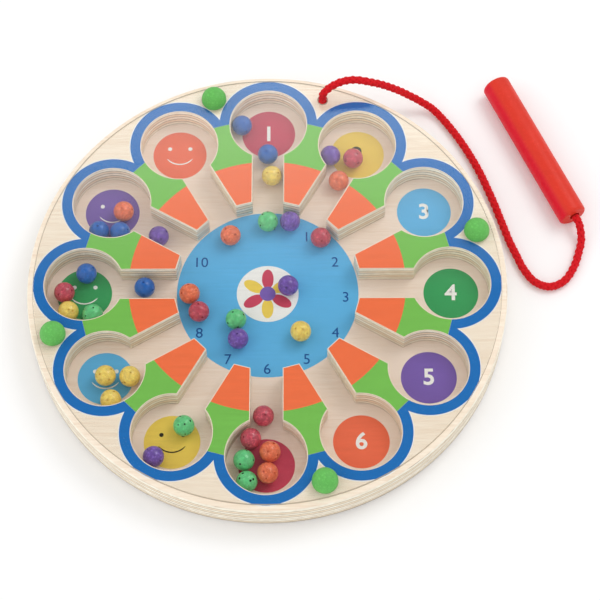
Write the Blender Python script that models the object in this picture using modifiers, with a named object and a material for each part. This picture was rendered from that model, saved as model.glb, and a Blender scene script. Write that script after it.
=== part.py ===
"""Magnetic maze board.

A round wooden board with twelve pockets round a middle hollow, a clear cover
held by four domed pegs, painted beads that roll inside, and a magnetic wand
on a braided cord.  Metres, +Z up.  The origin is at the middle of the board's
underside, +Y points to twelve o'clock and +X to three o'clock.
"""

import math

import bmesh
import bpy
from mathutils import Matrix, Vector

# Board
BOARD_DIAMETER = 0.300
BASE_THICKNESS = 0.007
RIM_ROUNDING = 0.0015
FIT_GAP = 0.0003

# Beads, and the room that they have under the cover and beside each other
BEAD_DIAMETER = 0.013
BEAD_HEADROOM = 0.002
BEAD_GAP = 0.0004

# Maze cut through the plate: the lanes' play is what they are wider than a bead, the rim
# wall is the least wood left outside a pocket, and the neck is the least between two pockets
LANE_COUNT = 12
LANE_PLAY = 0.0068
RIM_WALL = 0.0107
POCKET_NECK = 0.00992
MIDDLE_REACH = 0.0579

# Clear cover, set in from the board's edge
COVER_INSET = 0.0037
COVER_THICKNESS = 0.002
COVER_ROUNDING = 0.0005

# Pegs that hold the cover down, the hours of the clock where they stand,
# and the wood left in the plate under each
PEG_HOURS = (2.5, 5.5, 8.5, 11.5)
PEG_INSET = 0.0135
PEG_HEAD_DIAMETER = 0.016
PEG_DOME_HEIGHT = 0.008
PEG_FOOT_HEIGHT = 0.001
PEG_STEM_DIAMETER = 0.006
PEG_STEM_CHAMFER = 0.0005
PEG_FLOOR = 0.005

# Wand, lying on the table beside the board
WAND_DIAMETER = 0.0182
WAND_LENGTH = 0.109
WAND_END_ROUNDING = 0.002
WAND_STAND_OFF = 0.0510
WAND_BEARING = 59.2
WAND_TURN = 5.95
MAGNET_DIAMETER = 0.010
MAGNET_LENGTH = 0.012
CORD_SOCKET_DEPTH = 0.012
CORD_SOCKET_OFFSET = 0.001

# Cord between the board and the wand
CORD_DIAMETER = 0.0052
CORD_HOLE_CLEARANCE = 0.0006
CORD_HOLE_HOUR = 0.5
KNOT_DIAMETER = 0.011
KNOT_RECESS = 0.001
KNOT_ROUNDING = 0.002
KNOT_CHAMBER_CLEARANCE = 0.001
CORD_STRAIGHT_RUN = 0.006

# The free cord's way over the rim and along the table, chosen by hand
CORD_ROUTE = (
    (0.0369, 0.1319, 0.0344),
    (0.0397, 0.1336, 0.0366),
    (0.0436, 0.1351, 0.0384),
    (0.0481, 0.1364, 0.0396),
    (0.0536, 0.1373, 0.0400),
    (0.0594, 0.1373, 0.0396),
    (0.0659, 0.1373, 0.0374),
    (0.0725, 0.1381, 0.0334),
    (0.0792, 0.1389, 0.0282),
    (0.0860, 0.1397, 0.0220),
    (0.0927, 0.1400, 0.0155),
    (0.0996, 0.1395, 0.0096),
    (0.1103, 0.1347, 0.0035),
    (0.1234, 0.1169, 0.0026),
    (0.1353, 0.0945, 0.0026),
    (0.1439, 0.0723, 0.0026),
    (0.1496, 0.0548, 0.0026),
    (0.1544, 0.0396, 0.0026),
    (0.1587, 0.0288, 0.0026),
    (0.1628, 0.0192, 0.0026),
    (0.1695, 0.0102, 0.0026),
    (0.1789, 0.0068, 0.0026),
    (0.1881, 0.0108, 0.0026),
    (0.1948, 0.0205, 0.0026),
    (0.1988, 0.0320, 0.0029),
    (0.2005, 0.0400, 0.0044),
)

# How finely round things are cut
BOARD_STEPS = 96
POCKET_STEPS = 36
BORE_STEPS = 24
ROUNDING_STEPS = 3
DOME_STEPS = 6
BEAD_STEPS = 12
BEAD_RINGS = 8
CORD_SAMPLES = 16
CORD_STEP_DIAMETERS = 2.2
CORD_RESOLUTION = 2
MERGE_DISTANCE = 0.00001
FLAT_ANGLE = math.radians(0.05)

# How far every cutter runs past what it cuts
CUT_OVERRUN = 0.002

# Beads in pockets: colour, hour, bearing from the outward direction, share of the free radius
POCKET_BEAD_SHARES = (
    ("blue", 12, -77.0, 1.00),
    ("purple", 1, -131.0, 0.98),
    ("red", 1, 174.0, 0.34),
    ("green", 6, 91.0, 0.76),
    ("green", 6, 41.0, 1.00),
    ("red", 6, 146.0, 0.96),
    ("orange", 6, -159.0, 0.34),
    ("orange", 6, -6.0, 0.45),
    ("green", 7, -167.0, 0.57),
    ("purple", 7, 11.0, 0.94),
    ("yellow", 8, -49.0, 0.07),
    ("yellow", 8, -143.0, 0.84),
    ("yellow", 8, -72.0, 1.00),
    ("blue", 9, 92.0, 0.64),
    ("yellow", 9, -56.0, 1.00),
    ("green", 9, -108.0, 1.00),
    ("red", 9, -9.0, 0.73),
    ("blue", 10, -93.0, 1.00),
    ("blue", 10, -137.0, 0.97),
    ("orange", 10, 164.0, 0.40),
)

# Beads in lanes: colour, hour, share of the way from the middle to the pocket, share across
LANE_BEAD_SHARES = (
    ("blue", 12, 0.69, -0.10),
    ("yellow", 12, 0.41, 0.77),
    ("orange", 1, 0.56, 0.23),
    ("red", 6, 0.49, 0.65),
    ("blue", 9, 0.34, 0.48),
    ("purple", 10, 0.37, -0.71),
)

# Beads in the middle: colour, bearing from twelve o'clock, share of the free radius
MIDDLE_BEAD_SHARES = (
    ("yellow", 144.3, 0.70),
    ("green", 0.0, 0.94),
    ("green", -136.9, 0.56),
    ("purple", 16.4, 0.98),
    ("purple", -151.8, 0.75),
    ("purple", 78.8, 0.26),
    ("red", 42.8, 0.97),
    ("red", -109.7, 0.89),
    ("orange", -31.9, 0.88),
    ("orange", -93.3, 0.96),
)
SETTLING_ROUNDS = 400

# Colours, in linear light
BIRCH = (0.78, 0.66, 0.50)
CLEAR = (0.90, 0.93, 0.94)
PEG_GREEN = (0.10, 0.52, 0.12)
WAND_RED = (0.72, 0.06, 0.04)
CORD_RED = (0.55, 0.01, 0.02)
MAGNET_GREY = (0.45, 0.45, 0.47)
BEAD_COLOURS = {
    "red": (0.50, 0.03, 0.05),
    "orange": (0.82, 0.16, 0.05),
    "yellow": (0.82, 0.50, 0.08),
    "green": (0.08, 0.46, 0.15),
    "blue": (0.04, 0.13, 0.45),
    "purple": (0.12, 0.06, 0.30),
}

# Places in the plane that follow from the board's edge
BOARD_RADIUS = BOARD_DIAMETER / 2
COVER_RADIUS = BOARD_RADIUS - COVER_INSET
PEG_CIRCLE_RADIUS = BOARD_RADIUS - PEG_INSET
SECTOR = 2 * math.pi / LANE_COUNT
SECTOR_SINE = math.sin(SECTOR / 2)
POCKET_REACH = BOARD_RADIUS - RIM_WALL
POCKET_RADIUS = (POCKET_REACH * SECTOR_SINE - POCKET_NECK / 2) / (1 + SECTOR_SINE)
POCKET_CIRCLE_RADIUS = POCKET_REACH - POCKET_RADIUS
LANE_WIDTH = BEAD_DIAMETER + LANE_PLAY

# Heights that follow from the stack
PLATE_THICKNESS = BEAD_DIAMETER + BEAD_HEADROOM
PLATE_BOTTOM = BASE_THICKNESS + FIT_GAP
PLATE_TOP = PLATE_BOTTOM + PLATE_THICKNESS
COVER_BOTTOM = PLATE_TOP + FIT_GAP
COVER_TOP = COVER_BOTTOM + COVER_THICKNESS
PEG_SEAT = COVER_TOP + FIT_GAP
PEG_TIP = PLATE_BOTTOM + PEG_FLOOR + FIT_GAP
KNOT_TOP = PLATE_BOTTOM - FIT_GAP
KNOT_BOTTOM = KNOT_RECESS
BEAD_RADIUS = BEAD_DIAMETER / 2
BEAD_HEIGHT = BASE_THICKNESS + FIT_GAP + BEAD_RADIUS
BEAD_PITCH = BEAD_DIAMETER + BEAD_GAP


def clear_scene():
    """Remove whatever the file opened with."""
    for item in list(bpy.data.objects):
        bpy.data.objects.remove(item, do_unlink=True)


def new_collection(name):
    """Make a collection and put it in the scene."""
    collection = bpy.data.collections.new(name)
    bpy.context.scene.collection.children.link(collection)
    return collection


def paint(name, colour, roughness, metallic=0.0, transmission=0.0):
    """Make a Principled material."""
    material = bpy.data.materials.new(name)
    material.use_nodes = True
    shader = material.node_tree.nodes["Principled BSDF"]
    shader.inputs["Base Color"].default_value = (*colour, 1.0)
    shader.inputs["Roughness"].default_value = roughness
    shader.inputs["Metallic"].default_value = metallic
    shader.inputs["Transmission Weight"].default_value = transmission
    material.diffuse_color = (*colour, 1.0)
    return material


def add_part(name, mesh, material, collection):
    """Put a mesh in the scene as a named piece."""
    piece = bpy.data.objects.new(name, mesh)
    collection.objects.link(piece)
    mesh.materials.clear()
    mesh.materials.append(material)
    return piece


def add_cutter(name, mesh, collection):
    """Put a mesh in the scene as a cutter that is never built."""
    cutter = bpy.data.objects.new(name, mesh)
    collection.objects.link(cutter)
    cutter.hide_render = True
    cutter.display_type = "WIRE"
    return cutter


def smooth(mesh, angle=40.0):
    """Shade a round piece smooth and keep its real edges."""
    mesh.shade_smooth()
    mesh.set_sharp_from_angle(angle=math.radians(angle))


def arc(centre_x, centre_z, radius_x, radius_z, start, end, steps):
    """Points of an elliptic arc in a turned profile, angles in degrees."""
    points = []
    for step in range(steps + 1):
        angle = math.radians(start + (end - start) * step / steps)
        points.append((centre_x + radius_x * math.cos(angle), centre_z + radius_z * math.sin(angle)))
    return points


def turned_mesh(name, profile, steps):
    """Turn a profile, given from the top of the axis down its outer side, about Z."""
    mesh = bpy.data.meshes.new(name)
    edges = [(index, index + 1) for index in range(len(profile) - 1)]
    mesh.from_pydata([(x, 0.0, z) for x, z in profile], edges, [])
    lathe = bpy.data.objects.new(name, mesh)
    bpy.context.scene.collection.objects.link(lathe)
    screw = lathe.modifiers.new("Turn", "SCREW")
    screw.steps = steps
    screw.render_steps = steps
    screw.use_merge_vertices = True
    screw.merge_threshold = MERGE_DISTANCE
    turned = baked_mesh(lathe)
    smooth(turned)
    return turned


def baked_mesh(item):
    """Return an object's evaluated mesh, welded and with whole flat faces, and remove the object."""
    graph = bpy.context.evaluated_depsgraph_get()
    mesh = bpy.data.meshes.new_from_object(item.evaluated_get(graph))
    shape = bmesh.new()
    shape.from_mesh(mesh)
    bmesh.ops.remove_doubles(shape, verts=shape.verts, dist=MERGE_DISTANCE)
    bmesh.ops.dissolve_limit(shape, angle_limit=FLAT_ANGLE, verts=shape.verts, edges=shape.edges)
    bmesh.ops.transform(shape, matrix=item.matrix_world, verts=shape.verts)
    shape.to_mesh(mesh)
    shape.free()
    mesh.name = item.name
    bpy.data.objects.remove(item, do_unlink=True)
    return mesh


def disc_profile(radius, bottom, top, round_top, round_bottom):
    """Profile of a disc whose outer edges can be rounded."""
    points = [(0.0, top)]
    if round_top > 0:
        points += arc(radius - round_top, top - round_top, round_top, round_top, 90, 0, ROUNDING_STEPS)
    else:
        points.append((radius, top))
    if round_bottom > 0:
        points += arc(radius - round_bottom, bottom + round_bottom, round_bottom, round_bottom,
                      0, -90, ROUNDING_STEPS)
    else:
        points.append((radius, bottom))
    points.append((0.0, bottom))
    return points


def bores_mesh(name, bores):
    """Cylinders for cutting upright bores, each given as x, y, radius, bottom and top."""
    shape = bmesh.new()
    for x, y, radius, bottom, top in bores:
        place = Matrix.Translation((x, y, (bottom + top) / 2))
        bmesh.ops.create_cone(shape, cap_ends=True, segments=BORE_STEPS, radius1=radius,
                              radius2=radius, depth=top - bottom, matrix=place)
    mesh = bpy.data.meshes.new(name)
    shape.to_mesh(mesh)
    shape.free()
    return mesh


def cut(piece, cutter):
    """Cut one piece with one cutter."""
    boolean = piece.modifiers.new("Cut " + cutter.name, "BOOLEAN")
    boolean.operation = "DIFFERENCE"
    boolean.solver = "EXACT"
    boolean.object = cutter


def clock_point(hour, reach, across=0.0):
    """Point at a reach from the middle towards an hour of the clock, and across it clockwise."""
    angle = math.radians(360.0 * hour / 12)
    outward = Vector((math.sin(angle), math.cos(angle)))
    clockwise = Vector((math.cos(angle), -math.sin(angle)))
    return outward * reach + clockwise * across


def lane_outline(lane):
    """Maze outline of one lane and its pocket, from the island before it to the island after."""
    hour = 12 * lane / LANE_COUNT
    half = LANE_WIDTH / 2
    corner = (MIDDLE_REACH - half * math.sin(SECTOR / 2)) / math.cos(SECTOR / 2)
    mouth = math.asin(half / POCKET_RADIUS)
    points = [clock_point(hour, corner, -half)]
    for step in range(POCKET_STEPS + 1):
        angle = mouth + (2 * math.pi - 2 * mouth) * step / POCKET_STEPS
        reach = POCKET_CIRCLE_RADIUS - POCKET_RADIUS * math.cos(angle)
        points.append(clock_point(hour, reach, -POCKET_RADIUS * math.sin(angle)))
    points.append(clock_point(hour, corner, half))
    return points


def maze_mesh():
    """The maze as one upright prism, for cutting it through the plate."""
    curve = bpy.data.curves.new("maze_outline", "CURVE")
    curve.dimensions = "2D"
    curve.fill_mode = "BOTH"
    curve.extrude = PLATE_THICKNESS / 2 + CUT_OVERRUN
    outline = [point for lane in range(LANE_COUNT) for point in lane_outline(lane)]
    spline = curve.splines.new("POLY")
    spline.points.add(len(outline) - 1)
    for target, point in zip(spline.points, outline):
        target.co = (point.x, point.y, 0.0, 1.0)
    spline.use_cyclic_u = True
    prism = bpy.data.objects.new("maze_prism", curve)
    bpy.context.scene.collection.objects.link(prism)
    prism.location.z = (PLATE_BOTTOM + PLATE_TOP) / 2
    bpy.context.view_layer.update()
    return baked_mesh(prism)


def cord_hole_place():
    """Where the cord's hole goes through the board, on the pegs' circle."""
    return clock_point(CORD_HOLE_HOUR, PEG_CIRCLE_RADIUS)


def cord_hole_radius():
    """Radius of the hole that the cord passes through."""
    return CORD_DIAMETER / 2 + CORD_HOLE_CLEARANCE


def peg_places():
    """Where the four pegs stand."""
    return [clock_point(hour, PEG_CIRCLE_RADIUS) for hour in PEG_HOURS]


def build_base(parts, cutters, wood):
    """Bottom board, with the chamber for the cord's knot."""
    profile = disc_profile(BOARD_RADIUS, 0.0, BASE_THICKNESS, 0.0, RIM_ROUNDING)
    base = add_part("base_board", turned_mesh("base_board", profile, BOARD_STEPS), wood, parts)
    hole = cord_hole_place()
    chamber = (hole.x, hole.y, KNOT_DIAMETER / 2 + KNOT_CHAMBER_CLEARANCE, -CUT_OVERRUN,
               BASE_THICKNESS + CUT_OVERRUN)
    cut(base, add_cutter("knot_chamber", bores_mesh("knot_chamber", [chamber]), cutters))


def build_plate(parts, cutters, wood):
    """Upper board with the maze, the peg sockets and the cord's hole cut in it."""
    profile = disc_profile(BOARD_RADIUS, PLATE_BOTTOM, PLATE_TOP, RIM_ROUNDING, 0.0)
    plate = add_part("maze_plate", turned_mesh("maze_plate", profile, BOARD_STEPS), wood, parts)
    cut(plate, add_cutter("maze", maze_mesh(), cutters))
    hole = cord_hole_place()
    socket = PEG_STEM_DIAMETER / 2 + FIT_GAP
    floor = PLATE_BOTTOM + PEG_FLOOR
    bores = [(place.x, place.y, socket, floor, PLATE_TOP + CUT_OVERRUN) for place in peg_places()]
    bores.append((hole.x, hole.y, cord_hole_radius(), PLATE_BOTTOM - CUT_OVERRUN, PLATE_TOP + CUT_OVERRUN))
    cut(plate, add_cutter("plate_bores", bores_mesh("plate_bores", bores), cutters))


def build_cover(parts, cutters, clear):
    """Clear disc over the maze, with holes for the pegs and the cord."""
    profile = disc_profile(COVER_RADIUS, COVER_BOTTOM, COVER_TOP, COVER_ROUNDING, COVER_ROUNDING)
    cover = add_part("clear_cover", turned_mesh("clear_cover", profile, BOARD_STEPS), clear, parts)
    hole = cord_hole_place()
    bottom = COVER_BOTTOM - CUT_OVERRUN
    top = COVER_TOP + CUT_OVERRUN
    bores = [(place.x, place.y, PEG_STEM_DIAMETER / 2 + FIT_GAP, bottom, top) for place in peg_places()]
    bores.append((hole.x, hole.y, cord_hole_radius(), bottom, top))
    cut(cover, add_cutter("cover_bores", bores_mesh("cover_bores", bores), cutters))


def peg_mesh():
    """A domed peg turned with its stem, with its seat at the origin."""
    head = PEG_HEAD_DIAMETER / 2
    stem = PEG_STEM_DIAMETER / 2
    tip = PEG_TIP - PEG_SEAT
    profile = arc(0.0, PEG_FOOT_HEIGHT, head, PEG_DOME_HEIGHT, 90, 0, DOME_STEPS)
    profile += [(head, 0.0), (stem, 0.0), (stem, tip + PEG_STEM_CHAMFER), (stem - PEG_STEM_CHAMFER, tip),
                (0.0, tip)]
    return turned_mesh("peg", profile, BORE_STEPS)


def build_pegs(parts, green):
    """Four equal pegs, each in its own place."""
    mesh = peg_mesh()
    for number, place in enumerate(peg_places(), start=1):
        peg = add_part("cover_peg_%d" % number, mesh, green, parts)
        peg.location = (place.x, place.y, PEG_SEAT)


def pocket_free_radius():
    """How far a bead's centre can be from the middle of its pocket."""
    return POCKET_RADIUS - BEAD_RADIUS - BEAD_GAP


def lane_free_half():
    """How far a bead's centre can be from the middle line of its lane."""
    return LANE_WIDTH / 2 - BEAD_RADIUS - BEAD_GAP


def middle_free_radius():
    """How far a bead's centre can be from the middle of the board."""
    return MIDDLE_REACH - BEAD_RADIUS - BEAD_GAP


def first_bead_places():
    """List every bead as colour, space, hour and place, from the share tables."""
    beads = []
    for colour, hour, bearing, share in POCKET_BEAD_SHARES:
        reach = pocket_free_radius() * share
        along = POCKET_CIRCLE_RADIUS + reach * math.cos(math.radians(bearing))
        across = reach * math.sin(math.radians(bearing))
        beads.append((colour, "pocket", hour, clock_point(hour, along, across)))
    for colour, hour, share, across_share in LANE_BEAD_SHARES:
        along = MIDDLE_REACH + (POCKET_CIRCLE_RADIUS - MIDDLE_REACH) * share
        beads.append((colour, "lane", hour, clock_point(hour, along, lane_free_half() * across_share)))
    for colour, bearing, share in MIDDLE_BEAD_SHARES:
        hour = 12 * bearing / 360.0
        beads.append((colour, "middle", hour, clock_point(hour, middle_free_radius() * share)))
    return beads


def keep_inside(space, hour, place):
    """Move a bead's place back inside the walls of its space."""
    if space == "middle":
        return place.normalized() * min(place.length, middle_free_radius())
    outward = clock_point(hour, 1.0)
    clockwise = clock_point(hour, 0.0, 1.0)
    if space == "lane":
        across = max(-lane_free_half(), min(lane_free_half(), place.dot(clockwise)))
        return outward * place.dot(outward) + clockwise * across
    middle = outward * POCKET_CIRCLE_RADIUS
    away = place - middle
    return middle + away.normalized() * min(away.length, pocket_free_radius())


def settled_bead_places():
    """Roll beads apart until each clears its neighbours and the walls of its space."""
    beads = first_bead_places()
    places = [place for _, _, _, place in beads]
    for _ in range(SETTLING_ROUNDS):
        for first in range(len(places)):
            for second in range(first):
                apart = places[first] - places[second]
                short = BEAD_PITCH - apart.length
                if short > 0:
                    push = apart.normalized() * (short / 2)
                    places[first] = places[first] + push
                    places[second] = places[second] - push
        places = [keep_inside(bead[1], bead[2], place) for bead, place in zip(beads, places)]
    return [(bead[0], place) for bead, place in zip(beads, places)]


def bead_mesh(colour):
    """A plain round bead about its own centre."""
    shape = bmesh.new()
    bmesh.ops.create_uvsphere(shape, u_segments=BEAD_STEPS, v_segments=BEAD_RINGS, radius=BEAD_RADIUS)
    mesh = bpy.data.meshes.new(colour + "_bead")
    shape.to_mesh(mesh)
    shape.free()
    mesh.shade_smooth()
    return mesh


def build_beads(parts):
    """All beads, numbered within each colour."""
    meshes = {colour: bead_mesh(colour) for colour in BEAD_COLOURS}
    paints = {colour: paint(colour + "_bead_paint", value, 0.35) for colour, value in BEAD_COLOURS.items()}
    counts = {colour: 0 for colour in BEAD_COLOURS}
    for colour, place in settled_bead_places():
        counts[colour] += 1
        bead = add_part("%s_bead_%d" % (colour, counts[colour]), meshes[colour], paints[colour], parts)
        bead.location = (place.x, place.y, BEAD_HEIGHT)


def wand_frame():
    """Middle of the wand, and its direction from the magnet's end to the cord's end."""
    middle = clock_point(12 * WAND_BEARING / 360.0, BOARD_RADIUS + WAND_STAND_OFF)
    angle = math.radians(-WAND_BEARING - WAND_TURN)
    direction = Vector((math.cos(angle), math.sin(angle), 0.0))
    return Vector((middle.x, middle.y, WAND_DIAMETER / 2)), direction


def wand_mesh():
    """Turned handle along Z, with the magnet's end up and rounded ends."""
    radius = WAND_DIAMETER / 2
    half = WAND_LENGTH / 2
    rounding = WAND_END_ROUNDING
    profile = [(0.0, half)]
    profile += arc(radius - rounding, half - rounding, rounding, rounding, 90, 0, ROUNDING_STEPS)
    profile += arc(radius - rounding, rounding - half, rounding, rounding, 0, -90, ROUNDING_STEPS)
    profile.append((0.0, -half))
    return turned_mesh("wand_handle", profile, BORE_STEPS)


def build_wand(parts, cutters, red, grey):
    """Handle and magnet on an empty at the wand's middle, laid down beside the board."""
    middle, direction = wand_frame()
    frame = bpy.data.objects.new("wand_frame", None)
    parts.objects.link(frame)
    frame.location = middle
    side = direction.cross(Vector((0.0, 0.0, 1.0)))
    turn = Matrix((side, Vector((0.0, 0.0, 1.0)), -direction)).transposed()
    frame.rotation_euler = turn.to_euler()
    handle = add_part("wand_handle", wand_mesh(), red, parts)
    handle.parent = frame
    half = WAND_LENGTH / 2
    magnet_bore = (0.0, 0.0, MAGNET_DIAMETER / 2 + FIT_GAP, half - MAGNET_LENGTH - 2 * FIT_GAP,
                   half + CUT_OVERRUN)
    cord_bore = (-CORD_SOCKET_OFFSET, 0.0, cord_hole_radius(), -half - CUT_OVERRUN, CORD_SOCKET_DEPTH - half)
    cutter = add_cutter("wand_bores", bores_mesh("wand_bores", [magnet_bore, cord_bore]), cutters)
    cutter.parent = frame
    cut(handle, cutter)
    top = half - FIT_GAP
    profile = [(0.0, top), (MAGNET_DIAMETER / 2, top), (MAGNET_DIAMETER / 2, top - MAGNET_LENGTH),
               (0.0, top - MAGNET_LENGTH)]
    magnet = add_part("wand_magnet", turned_mesh("wand_magnet", profile, BORE_STEPS), grey, parts)
    magnet.parent = frame


def build_knot(parts, red):
    """The knot that keeps the cord's end under the plate."""
    hole = cord_hole_place()
    profile = disc_profile(KNOT_DIAMETER / 2, KNOT_BOTTOM, KNOT_TOP, KNOT_ROUNDING, KNOT_ROUNDING)
    knot = add_part("cord_knot", turned_mesh("cord_knot", profile, BORE_STEPS), red, parts)
    knot.location = (hole.x, hole.y, 0.0)


def cord_control_points():
    """The cord's whole way: up out of the board, over the table, and into the wand's end."""
    hole = cord_hole_place()
    rise = COVER_TOP + CORD_STRAIGHT_RUN
    start = [Vector((hole.x, hole.y, PLATE_BOTTOM)), Vector((hole.x, hole.y, COVER_TOP)),
             Vector((hole.x, hole.y, rise))]
    middle, direction = wand_frame()
    side = direction.cross(Vector((0.0, 0.0, 1.0)))
    end = middle + direction * (WAND_LENGTH / 2 + FIT_GAP) - side * CORD_SOCKET_OFFSET
    finish = [end + direction * CORD_STRAIGHT_RUN, end]
    return start + [Vector(point) for point in CORD_ROUTE] + finish


def smooth_way(points):
    """Catmull-Rom curve through the points, finely sampled."""
    way = []
    padded = [2 * points[0] - points[1]] + points + [2 * points[-1] - points[-2]]
    for index in range(1, len(padded) - 2):
        before, here, there, after = padded[index - 1:index + 3]
        for step in range(CORD_SAMPLES):
            t = step / CORD_SAMPLES
            way.append(0.5 * (2 * here + (there - before) * t
                              + (2 * before - 5 * here + 4 * there - after) * t ** 2
                              + (3 * here - before - 3 * there + after) * t ** 3))
    way.append(points[-1])
    return way


def even_way(way, pitch):
    """Points at an even pitch along a way, with both its ends kept."""
    lengths = [0.0]
    for first, second in zip(way, way[1:]):
        lengths.append(lengths[-1] + (second - first).length)
    count = max(2, round(lengths[-1] / pitch))
    points = []
    index = 0
    for number in range(count + 1):
        target = lengths[-1] * number / count
        while index < len(way) - 2 and lengths[index + 1] < target:
            index += 1
        span = lengths[index + 1] - lengths[index]
        points.append(way[index].lerp(way[index + 1], (target - lengths[index]) / span))
    return points


def build_cord(parts, red):
    """The free cord as a plain tube that never sinks into the table."""
    way = smooth_way(cord_control_points())
    points = even_way(way, CORD_DIAMETER * CORD_STEP_DIAMETERS)
    curve = bpy.data.curves.new("cord", "CURVE")
    curve.dimensions = "3D"
    curve.bevel_depth = CORD_DIAMETER / 2
    curve.bevel_resolution = CORD_RESOLUTION
    curve.use_fill_caps = True
    spline = curve.splines.new("POLY")
    spline.points.add(len(points) - 1)
    for target, point in zip(spline.points, points):
        target.co = (point.x, point.y, max(point.z, CORD_DIAMETER / 2), 1.0)
    cord = bpy.data.objects.new("cord", curve)
    curve.materials.append(red)
    parts.objects.link(cord)


def build():
    """Build the whole board with its wand and cord."""
    clear_scene()
    parts = new_collection("magnetic_maze_board")
    cutters = new_collection("cutters")
    wood = paint("birch", BIRCH, 0.55)
    build_base(parts, cutters, wood)
    build_plate(parts, cutters, wood)
    build_cover(parts, cutters, paint("clear_acrylic", CLEAR, 0.03, transmission=1.0))
    build_pegs(parts, paint("peg_paint", PEG_GREEN, 0.35))
    build_beads(parts)
    build_wand(parts, cutters, paint("wand_paint", WAND_RED, 0.35), paint("magnet_plate", MAGNET_GREY, 0.3, 1.0))
    cord_red = paint("cord_braid", CORD_RED, 0.7)
    build_knot(parts, cord_red)
    build_cord(parts, cord_red)


build()
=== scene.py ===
"""Looks of a magnetic maze board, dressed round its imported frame.

A round birch board with twelve printed pockets, a clear cover held by four pegs,
painted beads that roll inside, and a turned wand on a braided cord. Metres, +Z up,
+Y to twelve o'clock and +X to three o'clock.
"""

import logging
import math
from dataclasses import dataclass
from enum import Enum

import bmesh
import bpy
from bpy.types import ID, Material, Mesh, Node, NodeSocket, NodeTree, Object
from mathutils import Euler, Matrix, Vector


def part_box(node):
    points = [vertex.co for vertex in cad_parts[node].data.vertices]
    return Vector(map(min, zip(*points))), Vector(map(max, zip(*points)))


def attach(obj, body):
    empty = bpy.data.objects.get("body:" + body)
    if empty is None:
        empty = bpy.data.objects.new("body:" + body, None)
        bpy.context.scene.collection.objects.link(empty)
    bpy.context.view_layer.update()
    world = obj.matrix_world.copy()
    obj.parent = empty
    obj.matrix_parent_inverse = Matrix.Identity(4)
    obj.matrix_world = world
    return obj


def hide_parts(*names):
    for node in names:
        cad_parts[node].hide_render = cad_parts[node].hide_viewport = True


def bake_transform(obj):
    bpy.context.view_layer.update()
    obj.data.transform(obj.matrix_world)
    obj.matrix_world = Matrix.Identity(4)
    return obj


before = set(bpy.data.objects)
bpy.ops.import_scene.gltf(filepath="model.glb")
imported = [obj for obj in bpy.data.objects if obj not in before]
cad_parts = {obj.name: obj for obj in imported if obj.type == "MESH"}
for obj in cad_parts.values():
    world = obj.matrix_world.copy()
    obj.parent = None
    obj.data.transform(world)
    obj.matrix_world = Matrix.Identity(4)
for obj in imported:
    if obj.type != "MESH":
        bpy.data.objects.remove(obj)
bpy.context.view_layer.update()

LOG = logging.getLogger("maze_board")

Colour = tuple[float, float, float, float]
Outline = list[Vector]
Profile = list[tuple[float, float]]
Bore = tuple[float, float, float, float, float]

PEG_NODES = tuple("cover_peg_%d" % number for number in range(1, 5))
UP = Vector((0.0, 0.0, 1.0))
MERGE_DISTANCE = 0.00001
FLAT_ANGLE = math.radians(0.05)
CUT_OVERRUN = 0.002
FIT_GAP = 0.0003


def screen(red: int, green: int, blue: int) -> Colour:
    """Turn a colour as a screen shows it, 0 to 255, into linear light.

    Args:
        red: Red channel.
        green: Green channel.
        blue: Blue channel.

    Returns:
        The linear colour with full alpha.
    """
    shares = [channel / 255.0 for channel in (red, green, blue)]
    light = [share / 12.92 if share <= 0.04045 else ((share + 0.055) / 1.055) ** 2.4 for share in shares]
    return (light[0], light[1], light[2], 1.0)


def toned(colour: Colour, share: float, lift: float = 0.0) -> Colour:
    """Make a colour deeper or paler.

    Args:
        colour: Colour to change.
        share: What its light is multiplied by.
        lift: White light that is added to it.

    Returns:
        The new colour, in full light at most.
    """
    red, green, blue = (min(1.0, share * channel + lift) for channel in colour[:3])
    return (red, green, blue, 1.0)


class Ink(Enum):
    """Printing inks and paints of the toy, as colours on screen."""

    WHITE = screen(248, 247, 244)
    ROYAL = screen(14, 112, 191)
    LEAF = screen(122, 196, 84)
    TANGERINE = screen(250, 117, 69)
    CRIMSON = screen(208, 72, 98)
    SUNSHINE = screen(245, 213, 92)
    SKY = screen(98, 185, 237)
    FOREST = screen(59, 165, 97)
    VIOLET = screen(126, 98, 182)
    CORAL = screen(246, 114, 79)
    INDIGO = screen(12, 78, 152)
    CHARCOAL = screen(50, 46, 28)


class BeadPaint(Enum):
    """Paints of the beads, named as the bead nodes are."""

    RED = screen(196, 68, 88)
    ORANGE = screen(240, 114, 74)
    YELLOW = screen(252, 218, 104)
    GREEN = screen(98, 208, 132)
    BLUE = screen(8, 100, 190)
    PURPLE = screen(112, 76, 172)


# Node helpers


def add_node(tree: NodeTree, kind: str, inputs: dict | None = None, **settings: object) -> Node:
    """Add a shader node and fill it in.

    Args:
        tree: Node tree that gets the node.
        kind: Node type name.
        inputs: Socket name or number to a value, or to an output socket that is linked.
        settings: Node properties, such as operation.

    Returns:
        The new node.
    """
    node = tree.nodes.new(kind)
    for name, value in settings.items():
        setattr(node, name, value)
    for key, value in (inputs or {}).items():
        if isinstance(value, NodeSocket):
            tree.links.new(value, node.inputs[key])
        else:
            node.inputs[key].default_value = value
    return node


def maths(tree: NodeTree, operation: str, first: object, second: object = 0.0) -> NodeSocket:
    """Add a Math node and return its result.

    Args:
        tree: Node tree that gets the node.
        operation: Name of the Math operation.
        first: First value or socket.
        second: Second value or socket.

    Returns:
        The result socket.
    """
    return add_node(tree, "ShaderNodeMath", {0: first, 1: second}, operation=operation).outputs[0]


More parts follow.
